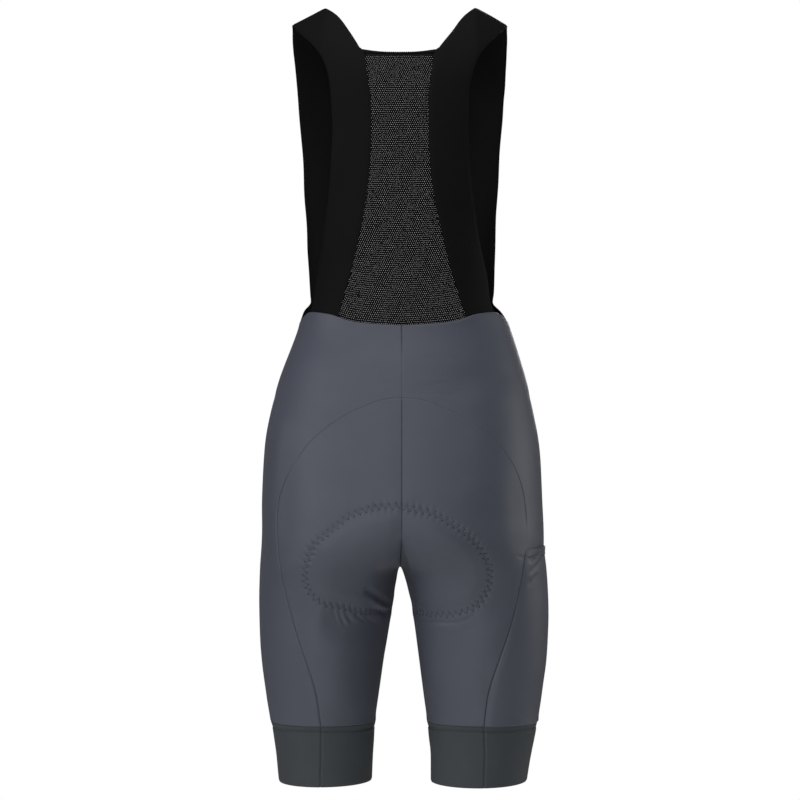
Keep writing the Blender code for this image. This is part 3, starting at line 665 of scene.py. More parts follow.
# height, then the shift to the wearer's right, in millimetres, of the left side, the left
# inside, the right inside and the right side
leanRows = (
    (0.010, -3.0, -0.8, -0.8, -3.0),
    (-0.0216, -1.8, -1.0, -1.0, -3.0),
    (-0.0336, -3.5, -1.1, -1.1, -1.4),
    (-0.0480, -4.1, -2.4, -2.4, -0.8),
    (-0.0624, -3.6, -3.6, -3.6, -0.2),
    (-0.0864, -2.8, -3.3, -3.3, 0.0),
    (-0.1104, -2.3, -3.0, -3.0, -1.0),
    (-0.1464, -1.2, -2.6, -2.6, -1.0),
    (-0.1824, -1.8, -2.4, -2.4, -0.5),
    (-0.2304, -1.4, -2.0, -2.0, -1.0),
    (-0.2784, -1.8, -1.4, -1.4, -0.2),
    (-0.3144, -0.6, -1.0, -1.0, 0.6),
    (-0.3384, -1.4, -0.7, -0.7, 1.6),
    (-0.3576, -1.3, -0.5, -0.5, 0.2),
    (-0.3720, 0.5, -0.4, -0.4, 3.0),
    (-0.3864, 1.8, -0.2, -0.2, 3.7),
    (-0.4044, 1.4, 0.0, 0.0, 3.5),
    (-0.4284, 0.4, 0.0, 0.0, 2.4),
    (-0.4584, -0.3, 0.0, 0.0, 1.2),
    (-0.4944, -0.6, 0.0, 0.0, 0.3),
    (-0.5424, -0.9, 0.0, 0.0, 1.2),
    (-0.5904, -0.4, 0.0, 0.0, 0.7),
    (-0.6264, 0.7, -0.3, -0.3, 1.4),
    (-0.6480, 0.8, -1.2, -1.2, 0.9),
    (-0.6624, 0.8, -2.2, -1.8, 0.5),
    (-0.6684, 0.7, -2.8, -2.0, 0.8),
    (-0.6744, 0.7, -2.6, -1.7, 1.0),
    (-0.6804, 0.7, -2.0, -1.2, 1.3),
    (-0.6864, 0.7, -1.7, -0.6, 1.6),
    (-0.6984, 0.6, -1.8, 0.3, 2.0),
    (-0.7104, 0.6, -0.6, 1.3, 2.4),
    (-0.7224, 0.6, 0.5, -0.4, 2.8),
    (-0.7344, 0.6, 0.0, 0.2, 3.0),
    (-0.7584, 0.7, -0.3, -0.2, 2.8),
    (-0.7824, 1.4, -0.9, -0.6, 2.4),
    (-0.8064, 1.8, -0.8, -1.0, 1.8),
    (-0.8304, 1.7, -0.9, -1.2, 2.0),
    (-0.8484, 2.2, -1.0, -1.2, 1.7),
    (-0.8564, 2.0, 0.4, -2.0, 3.2),
    (-0.8664, 1.8, 0.3, -2.0, 4.3),
    (-0.8904, 1.3, 0.6, -0.8, 3.6),
    (-0.9144, 0.0, 0.9, -1.8, 3.0),
    (-0.9264, -0.5, 1.1, -2.4, 2.9),
)
leanCurves = [evenCurve(leanRows, k, leanLook["evenOut"]) for k in range(1, 5)]


def leaned(points):
    # shifts points sideways; the centre seam and the net's middle move as one
    x, height = points[:, 0], points[:, 2]
    isBib = softStep((height - leanLook["bibLevel"]) / leanLook["bibRun"])
    inner = blend(np.maximum(insideCurve(height), 0.0), leanLook["bibInner"], isBib)
    outer = blend(ringCurves[0](height), leanLook["bibOuter"], isBib)
    share = np.clip((np.abs(x) - inner) / (outer - inner), 0, leanLook["most"])
    left, leftInside, rightInside, right = (curve(height) / 1000 for curve in leanCurves)
    centre = (leftInside + rightInside) / 2
    shift = blend(centre, np.where(x < 0, left, right), share)
    # below the crotch the two insides part, at first only beside the gap
    below = np.maximum(wornForm["crotch"] - height, 0)
    reach, growth = leanLook["gapReach"]
    beside = np.exp(-np.maximum(np.abs(x) - inner, 0) / (reach + growth * below))
    parted = softStep(below / leanLook["gapRun"]) * beside
    shift = shift + (np.where(x < 0, leftInside, rightInside) - centre) * parted
    return points + shift[:, None] * (1, 0, 0)


def finishPiece(piece, slot, *nodes):
    mesh = piece.data
    points = np.empty(len(mesh.vertices) * 3)
    mesh.vertices.foreach_get("co", points)
    mesh.vertices.foreach_set("co", leaned(points.reshape(-1, 3)).ravel())
    mesh.update()
    if nodes:
        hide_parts(*nodes)
    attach(piece, "root")
    return piece


# Finishes
finishes = {
    "stretchCloth": {"colour": (0.075, 0.082, 0.109), "roughness": 0.50, "specular": 0.36,
                     "sheen": 0.05, "wale": 0.00055, "course": 0.00050, "relief": 0.00006,
                     "mottle": 0.07},
    "bibCloth": {"colour": (0.0042, 0.0042, 0.0044), "roughness": 0.72, "specular": 0.10,
                 "sheen": 0.005, "wale": 0.00060, "course": 0.00050, "relief": 0.00007,
                 "mottle": 0.06},
    "bandKnit": {"colour": (0.050, 0.057, 0.064), "roughness": 0.68, "specular": 0.25,
                 "sheen": 0.03, "wale": 0.00090, "course": 0.00060, "relief": 0.00010,
                 "mottle": 0.08},
    "padFoam": {"colour": (0.060, 0.066, 0.080), "roughness": 0.90, "specular": 0.15,
                "sheen": 0.20, "wale": 0.00080, "course": 0.00080, "relief": 0.00008,
                "mottle": 0.10},
    # the thread is darker than the cloth: painted shade of the grooves the stitches sit in
    "thread": {"colour": (0.024, 0.026, 0.033), "roughness": 0.60, "specular": 0.25,
               "grain": 1400.0},
    # the zigzag's thread is lighter than the cloth: a painted highlight on real thread
    "padThread": {"colour": (0.125, 0.134, 0.165), "roughness": 0.42, "specular": 0.50,
                  "grain": 1400.0},
    # dark dots that paint the shade inside needle holes
    "needleHoleShade": {"colour": (0.012, 0.013, 0.016), "roughness": 0.80, "specular": 0.10,
                   "grain": 1400.0},
    "netYarn": {"colour": (0.0055, 0.0055, 0.0058), "roughness": 0.75, "specular": 0.10,
                "grain": 900.0},
}
knitGrain = {
    "lean": 1.3,             # how far a course bends within a wale
    "knitBump": 0.6,
    "softScale": 26.0,       # mottling
    "fineScale": 420.0,      # fibres
    "fineShare": 0.45,
    "knitShare": 0.25,
    "toneRange": (0.25, 0.65),
    "fibreRelief": 0.00012,
    "fibreBump": 0.35,
    "sheenRoughness": 0.45,
}
threadGrain = {"mottle": 0.3, "relief": 0.0001, "bump": 0.5}


def addNode(tree, kind, **values):
    # a node with its properties and inputs; an underscore stands for a space in an input's
    # name, and a socket as the value is linked to it
    node = tree.nodes.new(kind)
    for name, value in values.items():
        socket = node.inputs.get(name.replace("_", " "))
        if socket is None:
            setattr(node, name, value)
        elif isinstance(value, bpy.types.NodeSocket):
            tree.links.new(value, socket)
        else:
            socket.default_value = value
    return node


def addOutput(tree, kind, **values):
    return addNode(tree, kind, **values).outputs[0]


def calculate(tree, operation, first, second=None):
    node = addNode(tree, "ShaderNodeMath", operation=operation)
    for socket, value in zip(node.inputs, (first, second)):
        if isinstance(value, bpy.types.NodeSocket):
            tree.links.new(value, socket)
        elif value is not None:
            socket.default_value = value
    return node.outputs[0]


def plainMaterial(name, look):
    material = bpy.data.materials.new(name)
    material.use_nodes = True
    shader = material.node_tree.nodes["Principled BSDF"]
    shader.inputs["Roughness"].default_value = look["roughness"]
    shader.inputs["Specular IOR Level"].default_value = look["specular"]
    return material, material.node_tree, shader


def mottle(tree, shader, colour, spread, tone, low=0.0, high=1.0):
    # the colour, a little lighter and darker from place to place
    strength = addOutput(tree, "ShaderNodeMapRange", Value=tone, From_Min=low, From_Max=high,
                         To_Min=1 - spread, To_Max=1 + spread)
    scaled = addNode(tree, "ShaderNodeVectorMath", operation="SCALE", Scale=strength)
    scaled.inputs[0].default_value = colour
    tree.links.new(scaled.outputs[0], shader.inputs["Base Color"])


def knitMaterial(name, look):
    # courses and wales on the piece's own UV map, soft mottling on its coordinates
    material, tree, shader = plainMaterial(name, look)
    shader.inputs["Sheen Weight"].default_value = look["sheen"]
    shader.inputs["Sheen Roughness"].default_value = knitGrain["sheenRoughness"]

    def calc(operation, first, second=None):
        return calculate(tree, operation, first, second)

    # each wale is a column of small V loops: the courses lean to and fro across it
    flat = addOutput(tree, "ShaderNodeUVMap", uv_map="clothUV")
    flat = addNode(tree, "ShaderNodeSeparateXYZ", Vector=flat).outputs
    wale = calc("MULTIPLY", flat["X"], 2 * math.pi / look["wale"])
    ribs = calc("ABSOLUTE", calc("SINE", calc("MULTIPLY", wale, 0.5)))
    course = calc("MULTIPLY", flat["Y"], 2 * math.pi / look["course"])
    course = calc("ADD", course, calc("MULTIPLY", ribs, knitGrain["lean"]))
    loops = calc("MULTIPLY", calc("ADD", calc("SINE", course), 1.0), 0.5)
    knit = calc("MULTIPLY", loops, ribs)
    place = addNode(tree, "ShaderNodeTexCoord").outputs["Object"]
    soft = addOutput(tree, "ShaderNodeTexNoise", Vector=place, Scale=knitGrain["softScale"],
                     Detail=3.0, Roughness=0.55)
    fine = addOutput(tree, "ShaderNodeTexNoise", Vector=place, Scale=knitGrain["fineScale"],
                     Detail=2.0, Roughness=0.6)
    tone = calc("ADD", calc("MULTIPLY", soft, 1 - knitGrain["fineShare"]),
                calc("MULTIPLY", fine, knitGrain["fineShare"]))
    tone = calc("ADD", calc("MULTIPLY", tone, 1 - knitGrain["knitShare"]),
                calc("MULTIPLY", knit, knitGrain["knitShare"]))
    mottle(tree, shader, look["colour"], look["mottle"], tone, *knitGrain["toneRange"])
    bump = addOutput(tree, "ShaderNodeBump", Distance=look["relief"],
                     Strength=knitGrain["knitBump"], Height=knit)
    grain = addOutput(tree, "ShaderNodeBump", Distance=knitGrain["fibreRelief"],
                      Strength=knitGrain["fibreBump"], Height=fine, Normal=bump)
    tree.links.new(grain, shader.inputs["Normal"])
    return material


def threadMaterial(name, look):
    # thread and yarn: fine turns along the piece's coordinates
    material, tree, shader = plainMaterial(name, look)
    place = addNode(tree, "ShaderNodeTexCoord").outputs["Object"]
    twist = addOutput(tree, "ShaderNodeTexNoise", Vector=place, Scale=look["grain"], Detail=1.0)
    mottle(tree, shader, look["colour"], threadGrain["mottle"], twist)
    bump = addOutput(tree, "ShaderNodeBump", Distance=threadGrain["relief"],
                     Strength=threadGrain["bump"], Height=twist)
    tree.links.new(bump, shader.inputs["Normal"])
    return material


stretchCloth = knitMaterial("stretchCloth", finishes["stretchCloth"])
bibCloth = knitMaterial("bibCloth", finishes["bibCloth"])
bandKnit = knitMaterial("bandKnit", finishes["bandKnit"])
padFoam = knitMaterial("padFoam", finishes["padFoam"])
# stitch thread whose dark colour is painted shade of the seam grooves
threadShadeGrey = threadMaterial("threadShadeGrey", finishes["thread"])
# zigzag thread coloured lighter than the cloth as a painted highlight
threadPadHighlight = threadMaterial("threadPadHighlight", finishes["padThread"])
needleHoleShade = threadMaterial("needleHoleShade", finishes["needleHoleShade"])
netYarn = threadMaterial("netYarn", finishes["netYarn"])

# Shorts: rows of points close together beside each seam, in metres from it
crotchAbove = np.array((4.0, 2.6, 1.7, 1.0, 0.55, 0.25, 0.07, 0.0)) / 1000
crotchBelow = np.array((0.4, 1.0, 1.8, 2.9)) / 1000
archBelow = np.array((0, 0.1, 0.3, 0.6, 1.0, 1.5, 2.1, 2.9, 4.0, 5.4, 7.2, 9.2)) / 1000


def rowAngles(height, start, end, count):
    # angles along each row, with columns close together beside both of its ends
    def pace(angle):
        chord = ringPoint(height, angle + 1e-3) - ringPoint(height, angle - 1e-3)
        return np.linalg.norm(chord, axis=-1) / 2e-3

    span = end - start
    first, last = (edgeSteps[None] / pace(angle)[:, None] for angle in (start, end))
    first = first * np.minimum(1, clothLook["edgeShare"] * span / first[:, -1])[:, None]
    last = last * np.minimum(1, clothLook["edgeShare"] * span / last[:, -1])[:, None]
    middle = np.linspace(0, 1, count)[None, 1:-1]
    inside = blend((start + first[:, -1])[:, None], (end - last[:, -1])[:, None], middle)
    return np.hstack((start[:, None] + first, inside, end[:, None] - last[:, ::-1]))


def archRows():
    top, crotch = wornForm["archTop"], wornForm["crotch"]
    start, pitch = clothLook["fineTop"], clothLook["padPitch"]
    even = np.arange(top - 0.0115, start + 0.002, -clothLook["rowPitch"])
    fine = np.linspace(start, crotch + 0.0050, round((start - crotch) / pitch))
    return np.concatenate((top - archBelow, even, fine, crotch + crotchAbove))


def legRows():
    crotch = wornForm["crotch"]
    low = wornForm["bandTop"] + wornForm["seamGap"] / 2
    fine = np.arange(crotch - 0.0042, clothLook["fineBottom"], -clothLook["padPitch"])
    even = np.linspace(fine[-1] - 0.0022, low + edgeSteps[-1] + 0.0015, 48)
    return np.concatenate((crotch - crotchBelow, fine, even, low + edgeSteps[::-1]))


def clothUv(height, angle):
    return np.stack(np.broadcast_arrays(angle * clothLook["uvRadius"], height), axis=-1)


def bodyPanel(name, height, angle, side, centre, over):
    outer, normal = wornSurface(height, angle, side, atCentre=centre, over=over)
    inner = outer - normal * clothLook["shorts"]
    return clothWall(name, outer, inner, gridFaces(*angle.shape), clothUv(height, angle),
                     stretchCloth, flip=side < 0)


def seatPanel(side, name):
    heights = np.concatenate((archRows(), legRows()))
    start = startAngle(heights)
    seam = np.maximum(angleAt(heights, seatSeamX(heights)), start)
    angle = rowAngles(heights, start, seam, clothLook["seatColumns"])
    height = np.broadcast_to(heights[:, None], angle.shape)
    centre = np.zeros(angle.shape, bool)
    centre[heights >= wornForm["crotch"] - 1e-7, 0] = True
    centre[0] = True
    return bodyPanel(name, height, angle, side, centre, over=1.0)


def yokeRows():
    # shares of the way from the waist edge down to where the rows are level
    depth = wornForm["yokeLevel"] - wornForm["waist"][2][1]
    first = edgeSteps / abs(depth)
    return np.concatenate((first, np.linspace(first[-1], 1, 30)[1:-1]))[:, None]


def sidePanel(side, name):
    share = yokeRows()
    level = wornForm["yokeLevel"]
    back = blend(waistHeight(-math.pi / 2), level, share)[:, 0]
    front = blend(waistHeight(math.pi / 2), level, share)[:, 0]
    count = clothLook["sideColumns"]
    angleYoke = rowAngles((back + front) / 2, startAngle(back), -startAngle(front), count)
    heightYoke = blend(waistHeight(angleYoke), level, share)
    top = wornForm["archTop"]
    fall = np.linspace(level, top + edgeSteps[-1] + 0.0015, 8)
    heights = np.concatenate((fall, top + edgeSteps[:0:-1], archRows(), legRows()))
    start = startAngle(heights)
    seam = np.maximum(angleAt(heights, seatSeamX(heights)), start)
    seam = np.where(heights > top, start, seam)
    angle = rowAngles(heights, seam, -start, count)
    height = np.broadcast_to(heights[:, None], angle.shape)
    centre = np.zeros(angle.shape, bool)
    centre[heights >= top - 1e-7, 0] = True
    centre[heights >= wornForm["crotch"] - 1e-7, -1] = True
    centreYoke = np.zeros(angleYoke.shape, bool)
    centreYoke[:, (0, -1)] = True
    angle, height = np.vstack((angleYoke, angle)), np.vstack((heightYoke, height))
    centre = np.vstack((centreYoke, centre))
    return bodyPanel(name, height, angle, side, centre, over=0.0)


for side, word in ((1, "right"), (-1, "left")):
    finishPiece(seatPanel(side, "seatPanel_" + word), "stretch_cloth", "seat_panel_" + word)
    finishPiece(sidePanel(side, "sidePanel_" + word), "stretch_cloth", "side_panel_" + word)
print("shorts ready")

# Thigh pocket
pocket = {
    "mouth": -0.6456,
    "frontEdge": ((-0.3600, -5), (-0.4681, 0), (-0.6456, 44), (-0.8556, 30)),
    "lift": 0.0003,          # clearance over the panel below it
    "hem": 0.0100,           # turned-in hem of the mouth
    "hemRise": 0.0003,
    "hemStep": 0.0007,
    "gape": 0.0005,          # how far the mouth stands open, and how far down
    "gapeReach": 0.012,
    "width": 0.16,           # across, for the seams on its two edges
    "rise": 0.009,           # width over which it rises from the leg seam it is sewn into
    "riseFrom": 0.12,        # its share of the rise at that seam
    "frontPull": (0.0005, 0.0009),    # depth and width of the seam on its front edge
    "thinnest": 0.00008,
}
thighLine = monotoneCurve(*np.array(pocket["frontEdge"]).T)


def pocketSurface(height, angle, lift=0.0):
    start = angleAt(height, seatSeamX(height))
    share = (angle - start) / (np.radians(thighLine(height)) - start)
    fall = pocket["mouth"] - height
    pull, pullWidth = pocket["frontPull"]
    extra = pocket["lift"] + clothLook["shorts"]
    extra = extra + pocket["hemRise"] * softStep((pocket["hem"] - fall) / pocket["hemStep"])
    extra = extra + pocket["gape"] * np.sin(math.pi * share) * np.exp(-fall / pocket["gapeReach"])
    extra = extra - pull * np.exp(-((1 - share) * pocket["width"] / pullWidth) ** 2)
    rise = softStep(share * pocket["width"] / pocket["rise"])
    extra = extra * blend(pocket["riseFrom"], 1.0, rise)
    points, normals = wornSurface(height, angle, 1, extra + lift, over=0.0)
    return points, normals, np.clip(extra - 0.0001, pocket["thinnest"], clothLook["shorts"])


def thighPocket():
    mouth, hem = pocket["mouth"], pocket["hem"]
    low = wornForm["bandTop"] + wornForm["seamGap"] / 2
    hemRows = mouth - hem + np.array((0.8, 0.3, 0.0, -0.3, -0.8, -1.6)) / 1000
    above = mouth - np.linspace(0.0045, hem - 0.0016, 4)
    below = np.linspace(mouth - hem - 0.0035, low + 0.005, 76)
    heights = np.concatenate((mouth - edgeSteps, above, hemRows, below, low + edgeSteps[::-1]))
    start = angleAt(heights, seatSeamX(heights))
    end = np.radians(thighLine(heights))
    angle = rowAngles(heights, start, end, clothLook["pocketColumns"])
    height = np.broadcast_to(heights[:, None], angle.shape)
    outer, normal, wall = pocketSurface(height, angle)
    inner = outer - normal * wall[..., None]
    return clothWall("thighPocket_right", outer, inner, gridFaces(*angle.shape),
                     clothUv(height, angle) + (0.3, 0), stretchCloth)


finishPiece(thighPocket(), "stretch_cloth", "thigh_pocket_right")

# Leg bands
legBand = {
    "seamX": (0.0962, 0.0971),     # back seam at the top and at the hem
    "head": 0.0068,                # height of the strip that joins the leg
    "insetTop": 0.0003,
    "insetHead": 0.0015,
    "inset": 0.0012,
    "fade": 0.030,
    "line": 0.0006,                # depth of the line below the strip
    "lineWidth": 0.0008,
    "seamDepth": 0.0008,
    "seamWidth": 0.0010,
    "seamRidge": (0.0002, 0.0030, 0.0016),    # beside the seam: height, place, width
    "hemRoll": 0.0006,
    "hemRollWidth": 0.0012,
    "headStep": (0.0004, 0.0015),  # how far the band stands out below the line, and its run
    "wave": 0.0004,                # slow waves round the band
    "waveRun": 0.03,
    "radius": 0.064,               # turns an angle into a width
    # how much lower the hem hangs all round, towards the outside, and at the back and front
    "hemDrop": {1: (0.0014, -0.0007, 0.0015), -1: (0.0004, 0.0008, 0.0013)},
}


def bandInset(fall):
    head = legBand["head"]
    step, stepRun = legBand["headStep"]
    above = blend(legBand["insetTop"], legBand["insetHead"], softStep(fall / head))
    share = softStep((fall - head) / legBand["fade"])
    below = blend(legBand["insetHead"], legBand["inset"], share)
    below = below - step * softStep((fall - head) / stepRun)
    inset = np.where(fall > head, below, above)
    return inset + legBand["line"] * np.exp(-((fall - head) / legBand["lineWidth"]) ** 2)


def bandSeamAngle(height):
    share = (wornForm["bandTop"] - height) / (wornForm["bandTop"] - wornForm["hem"])
    return angleAt(height, blend(*legBand["seamX"], share))


def bandSurface(height, angle, side):
    # angle is measured from the back seam of the band
    top, hem = wornForm["bandTop"] - wornForm["seamGap"] / 2, wornForm["hem"]
    seam = bandSeamAngle(height)
    points = ringPoint(height, seam + angle)
    normals = bodyNormal(height, seam + angle)
    away = np.abs((angle + math.pi) % (2 * math.pi) - math.pi) * legBand["radius"]
    relief = -bandInset(top - height)
    relief = relief - legBand["seamDepth"] * np.exp(-(away / legBand["seamWidth"]) ** 2)
    ridge, ridgePlace, ridgeWidth = legBand["seamRidge"]
    relief = relief + ridge * np.exp(-((away - ridgePlace) / ridgeWidth) ** 2)
    roll = np.exp(-((height - hem) / legBand["hemRollWidth"]) ** 2)
    relief = relief - legBand["hemRoll"] * roll
    wave = legBand["wave"] * np.sin(3 * angle + 0.6 * side)
    relief = relief + wave * softStep((top - height) / legBand["waveRun"])
    points = points + normals * relief[..., None]
    even, outwardDrop, endDrop = legBand["hemDrop"][side]
    drop = even + outwardDrop * np.cos(seam + angle) + endDrop * np.sin(seam + angle) ** 2
    points[..., 2] -= drop * softStep((top - height) / (top - hem))
    return points * (side, 1, 1), normals * (side, 1, 1)


def legBandPiece(side, name):
    top, hem = wornForm["bandTop"] - wornForm["seamGap"] / 2, wornForm["hem"]
    head = top - legBand["head"] + np.array((1.8, 1.0, 0.5, 0.0, -0.5, -1.0, -1.8)) / 1000
    tail = hem + np.array((2.6, 1.6, 0.9, 0.4, 0.0)) / 1000
    even = np.linspace(head[-1] - 0.0015, hem + 0.004, 26)
    heights = np.concatenate((top - edgeSteps[:5], head, even, tail))
    beside = np.array((0.35, 0.75, 1.2, 1.8, 2.6, 3.6, 5.0)) / 1000 / legBand["radius"]
    around = np.linspace(beside[-1], 2 * math.pi - beside[-1], 150)[1:-1]
    angle = np.concatenate(((0,), beside, around, 2 * math.pi - beside[::-1]))
    height, turn = np.meshgrid(heights, angle, indexing="ij")
    outer, normal = bandSurface(height, turn, side)
    inner = outer - normal * clothLook["band"]
    uv = clothUv(height, turn * legBand["radius"] / clothLook["uvRadius"])
    return clothWall(name, outer, inner, gridFaces(*turn.shape, closed=True), uv, bandKnit,
                     flip=side < 0)


for side, word in ((1, "right"), (-1, "left")):
    finishPiece(legBandPiece(side, "legBand_" + word), "band_knit", "leg_band_" + word)
print("pocket and bands ready")

# Bib
bib = {
    "topInner": 0.090,
    "topOuter": 0.130,
    "slope": 0.53,           # fall of the shoulder line
    "arch": 0.100,           # height in which a strap turns over the shoulder
    "backDrop": 0.3735,      # from the shoulder to the waist seam along the net
    "neckCorner": 0.0585,
    "neckStep": 0.0593,
    "netTop": 0.0648,
    # edges: height, distance from the centre
    "backInner": ((0.0000, 0.090), (-0.0143, 0.0752), (-0.0355, 0.0604), (-0.0530, 0.0489),
                  (-0.0583, 0.0456), (-0.0585, 0.0455), (-0.0593, 0.0404), (-0.0648, 0.0402),
                  (-0.0930, 0.0369), (-0.1220, 0.0337), (-0.1500, 0.0334), (-0.1800, 0.0343),
                  (-0.2080, 0.0366), (-0.2393, 0.0411), (-0.2895, 0.0517), (-0.3179, 0.0587),
                  (-0.3439, 0.0665), (-0.3735, 0.0757)),
    "backOuter": ((-0.0215, 0.130), (-0.0401, 0.1127), (-0.0555, 0.0989), (-0.0716, 0.0892),
                  (-0.0892, 0.0841), (-0.1089, 0.0812), (-0.1423, 0.0799), (-0.1753, 0.0807),
                  (-0.2080, 0.0826), (-0.2646, 0.0896), (-0.2977, 0.0952), (-0.3307, 0.1013),
                  (-0.3680, 0.1090)),
    "frontInner": ((0.0000, 0.090), (-0.0500, 0.0860), (-0.1000, 0.0825), (-0.2000, 0.0780),
                   (-0.3000, 0.0765), (-0.3600, 0.0790), (-0.3960, 0.0810)),
    "frontOuter": ((-0.0215, 0.130), (-0.0751, 0.1265), (-0.1650, 0.1209), (-0.2383, 0.1167),
                   (-0.3120, 0.1127), (-0.3420, 0.1108), (-0.3525, 0.1104), (-0.3560, 0.1126),
                   (-0.3618, 0.1174), (-0.3665, 0.1199), (-0.3720, 0.1221)),
    "edgeRoll": 0.0007,      # how far the strap's edges curl in
    "edgeRollWidth": 0.0022,
    "wave": 0.0004,          # slow waves along the strap, and smaller ones
    "ripple": 0.00025,
    "waveTurn": 31,          # radians for each metre along the strap
    "rippleTurn": 73,
    "calmEnds": 0.05,
    "turnShare": 0.62,       # of the arch that has the closest rows
}


def shoulderHeight(x):
    return -bib["slope"] * np.maximum(x - bib["topInner"], 0.0)


def bibPoint(angle, part):
    # part runs from 0 on the shoulder to 1 at the waist seam
    angle, part = np.broadcast_arrays(np.asarray(angle, float), np.asarray(part, float))
    foot = waistHeight(angle)
    x = ringX(foot * part, angle)
    for _ in range(7):       # the shoulder's slope and the ring's width settle together
        height = blend(shoulderHeight(x), foot, part)
        x = ringX(height, angle)
    point = ringPoint(height, angle)
    drop = np.clip((shoulderHeight(x) - height) / bib["arch"], 0, 1)
    point[..., 1] *= np.sqrt(1 - (1 - drop) ** 2)
    return point


def bibNormal(angle, part):
    part = np.maximum(part, 0.004)
    along = bibPoint(angle + 2e-3, part) - bibPoint(angle - 2e-3, part)
    up = bibPoint(angle, part - 2e-3) - bibPoint(angle, part + 2e-3)
    return unit(np.cross(along, up))


def bibEdge(key):
    # the edge as an angle by part
    front = key.startswith("front")
    height, x = np.array(bib[key]).T
    angle = angleAt(height, x) * (-1 if front else 1)
    foot = waistHeight(angle)
    top = shoulderHeight(x)
    return monotoneCurve(np.minimum((top - height) / (top - foot), 1.0), angle)


bibEdges = {key: bibEdge(key) for key in ("backInner", "backOuter", "frontInner", "frontOuter")}


def shoulderParts():
    # close together where the strap turns over the shoulder
    drop = bib["arch"] * bib["turnShare"] * (1 - np.cos(np.linspace(0, math.pi / 2, 30)))
    return drop / bib["backDrop"]


def strapParts(front):
    turn = shoulderParts()
    if not front:
        turn = turn[turn < (bib["neckCorner"] - 0.002) / bib["backDrop"]]
        corner = np.array((bib["neckCorner"] - 0.0008, bib["neckCorner"], bib["neckStep"],
                           bib["neckStep"] + 0.0006, bib["netTop"])) / bib["backDrop"]
        turn = np.concatenate((turn, corner))
    last = edgeSteps[::-1] / bib["backDrop"]
    even = np.linspace(turn[-1] + 0.008, 1 - last[0] - 0.006, 96)
    return np.concatenate((turn, even, 1 - last))


def bibStrap(side, name):
    back, front = strapParts(False)[::-1], strapParts(True)[1:]
    parts = np.concatenate((back, front))
    innerEdge = np.concatenate((bibEdges["backInner"](back), bibEdges["frontInner"](front)))
    outerEdge = np.concatenate((bibEdges["backOuter"](back), bibEdges["frontOuter"](front)))
    beside = np.array((0.0, 0.012, 0.03, 0.055, 0.09))
    across = np.concatenate((beside, np.linspace(0.09, 0.91, 18)[1:-1], 1 - beside[::-1]))
    angle = blend(innerEdge[:, None], outerEdge[:, None], across[None])
    part = np.broadcast_to(parts[:, None], angle.shape)
    points, normals = bibPoint(angle, part), bibNormal(angle, part)
    ridge = parts == 0
    x = np.broadcast_to(blend(bib["topInner"], bib["topOuter"], across), points[ridge].shape[:2])
    points[ridge] = np.stack((x, 0 * x, shoulderHeight(x)), axis=-1)
    normals[ridge] = unit(np.array((bib["slope"], 0.0, 1.0)))
    width = np.linalg.norm(points[:, -1] - points[:, 0], axis=1)[:, None]
    fromEdge = np.minimum(across, 1 - across)[None] * width
    relief = -bib["edgeRoll"] * np.exp(-(fromEdge / bib["edgeRollWidth"]) ** 2)
    run = alongLine(points[:, 8])[:, None]
    wave = bib["wave"] * np.sin(run * bib["waveTurn"] + side * 0.7)
    wave = wave * np.cos(math.pi * (across - 0.4))
    ripple = bib["ripple"] * np.sin(run * bib["rippleTurn"] + 3 * across + 1.3 * side)
    relief = relief + softStep(np.minimum(run, run[-1] - run) / bib["calmEnds"]) * (wave + ripple)
    fromWaist = (1 - parts[:, None]) * bib["backDrop"]
    relief = relief - seamLook["edges"] / 1000 * np.exp(-(fromWaist / seamLook["width"]) ** 2)
    outer = points + normals * relief[..., None]
    inner = outer - normals * clothLook["bib"]
    mirror = np.array((side, 1, 1))
    uv = np.stack(np.broadcast_arrays(across[None] * width, run), axis=-1)
    return clothWall(name, outer * mirror, inner * mirror, gridFaces(*angle.shape), uv, bibCloth,
                     flip=side > 0)


for side, word in ((1, "right"), (-1, "left")):
    finishPiece(bibStrap(side, "bibStrap_" + word), "bib_cloth", "bib_strap_" + word)
print("straps ready")


# Node trees for what repeats
def newTree(name, **inputs):
    tree = bpy.data.node_groups.new(name, "GeometryNodeTree")
    tree.interface.new_socket("Geometry", in_out="INPUT", socket_type="NodeSocketGeometry")
    for label, kind in inputs.items():
        tree.interface.new_socket(label, in_out="INPUT", socket_type="NodeSocket" + kind)
    tree.interface.new_socket("Geometry", in_out="OUTPUT", socket_type="NodeSocketGeometry")
    source = tree.nodes.new("NodeGroupInput")
    target = tree.nodes.new("NodeGroupOutput")
    return tree, source.outputs, target.inputs[0]


def closeTree(tree, result, mesh, material):
    mesh = addOutput(tree, "GeometryNodeRealizeInstances", Geometry=mesh)
    mesh = addOutput(tree, "GeometryNodeSetShadeSmooth", Geometry=mesh)
    mesh = addOutput(tree, "GeometryNodeSetMaterial", Geometry=mesh, Material=material)
    tree.links.new(mesh, result)
    return tree


def attributeOf(tree, kind, name):
    return addOutput(tree, "GeometryNodeInputNamedAttribute", data_type=kind, Name=name)


def applyTree(piece, tree, **values):
    # sets the inputs by identifier, then turns the result into a plain mesh
    modifier = piece.modifiers.new("shape", "NODES")
    modifier.node_group = tree
    for item in tree.interface.items_tree:
        if item.item_type == "SOCKET" and item.in_out == "INPUT" and item.name in values:
            modifier[item.identifier] = values[item.name]
    graph = bpy.context.evaluated_depsgraph_get()
    graph.update()
    mesh = bpy.data.meshes.new_from_object(piece.evaluated_get(graph), depsgraph=graph)
    piece.modifiers.clear()
    piece.data = mesh
    mesh.name = piece.name
    return piece


def bead(tree, **sizes):
    # a low ball stretched to a thread or a dot
    ball = addOutput(tree, "GeometryNodeMeshUVSphere", Segments=6, Rings=4, Radius=0.5)
    size = addOutput(tree, "ShaderNodeCombineXYZ", **sizes)
    return addOutput(tree, "GeometryNodeTransform", Geometry=ball, Scale=size)


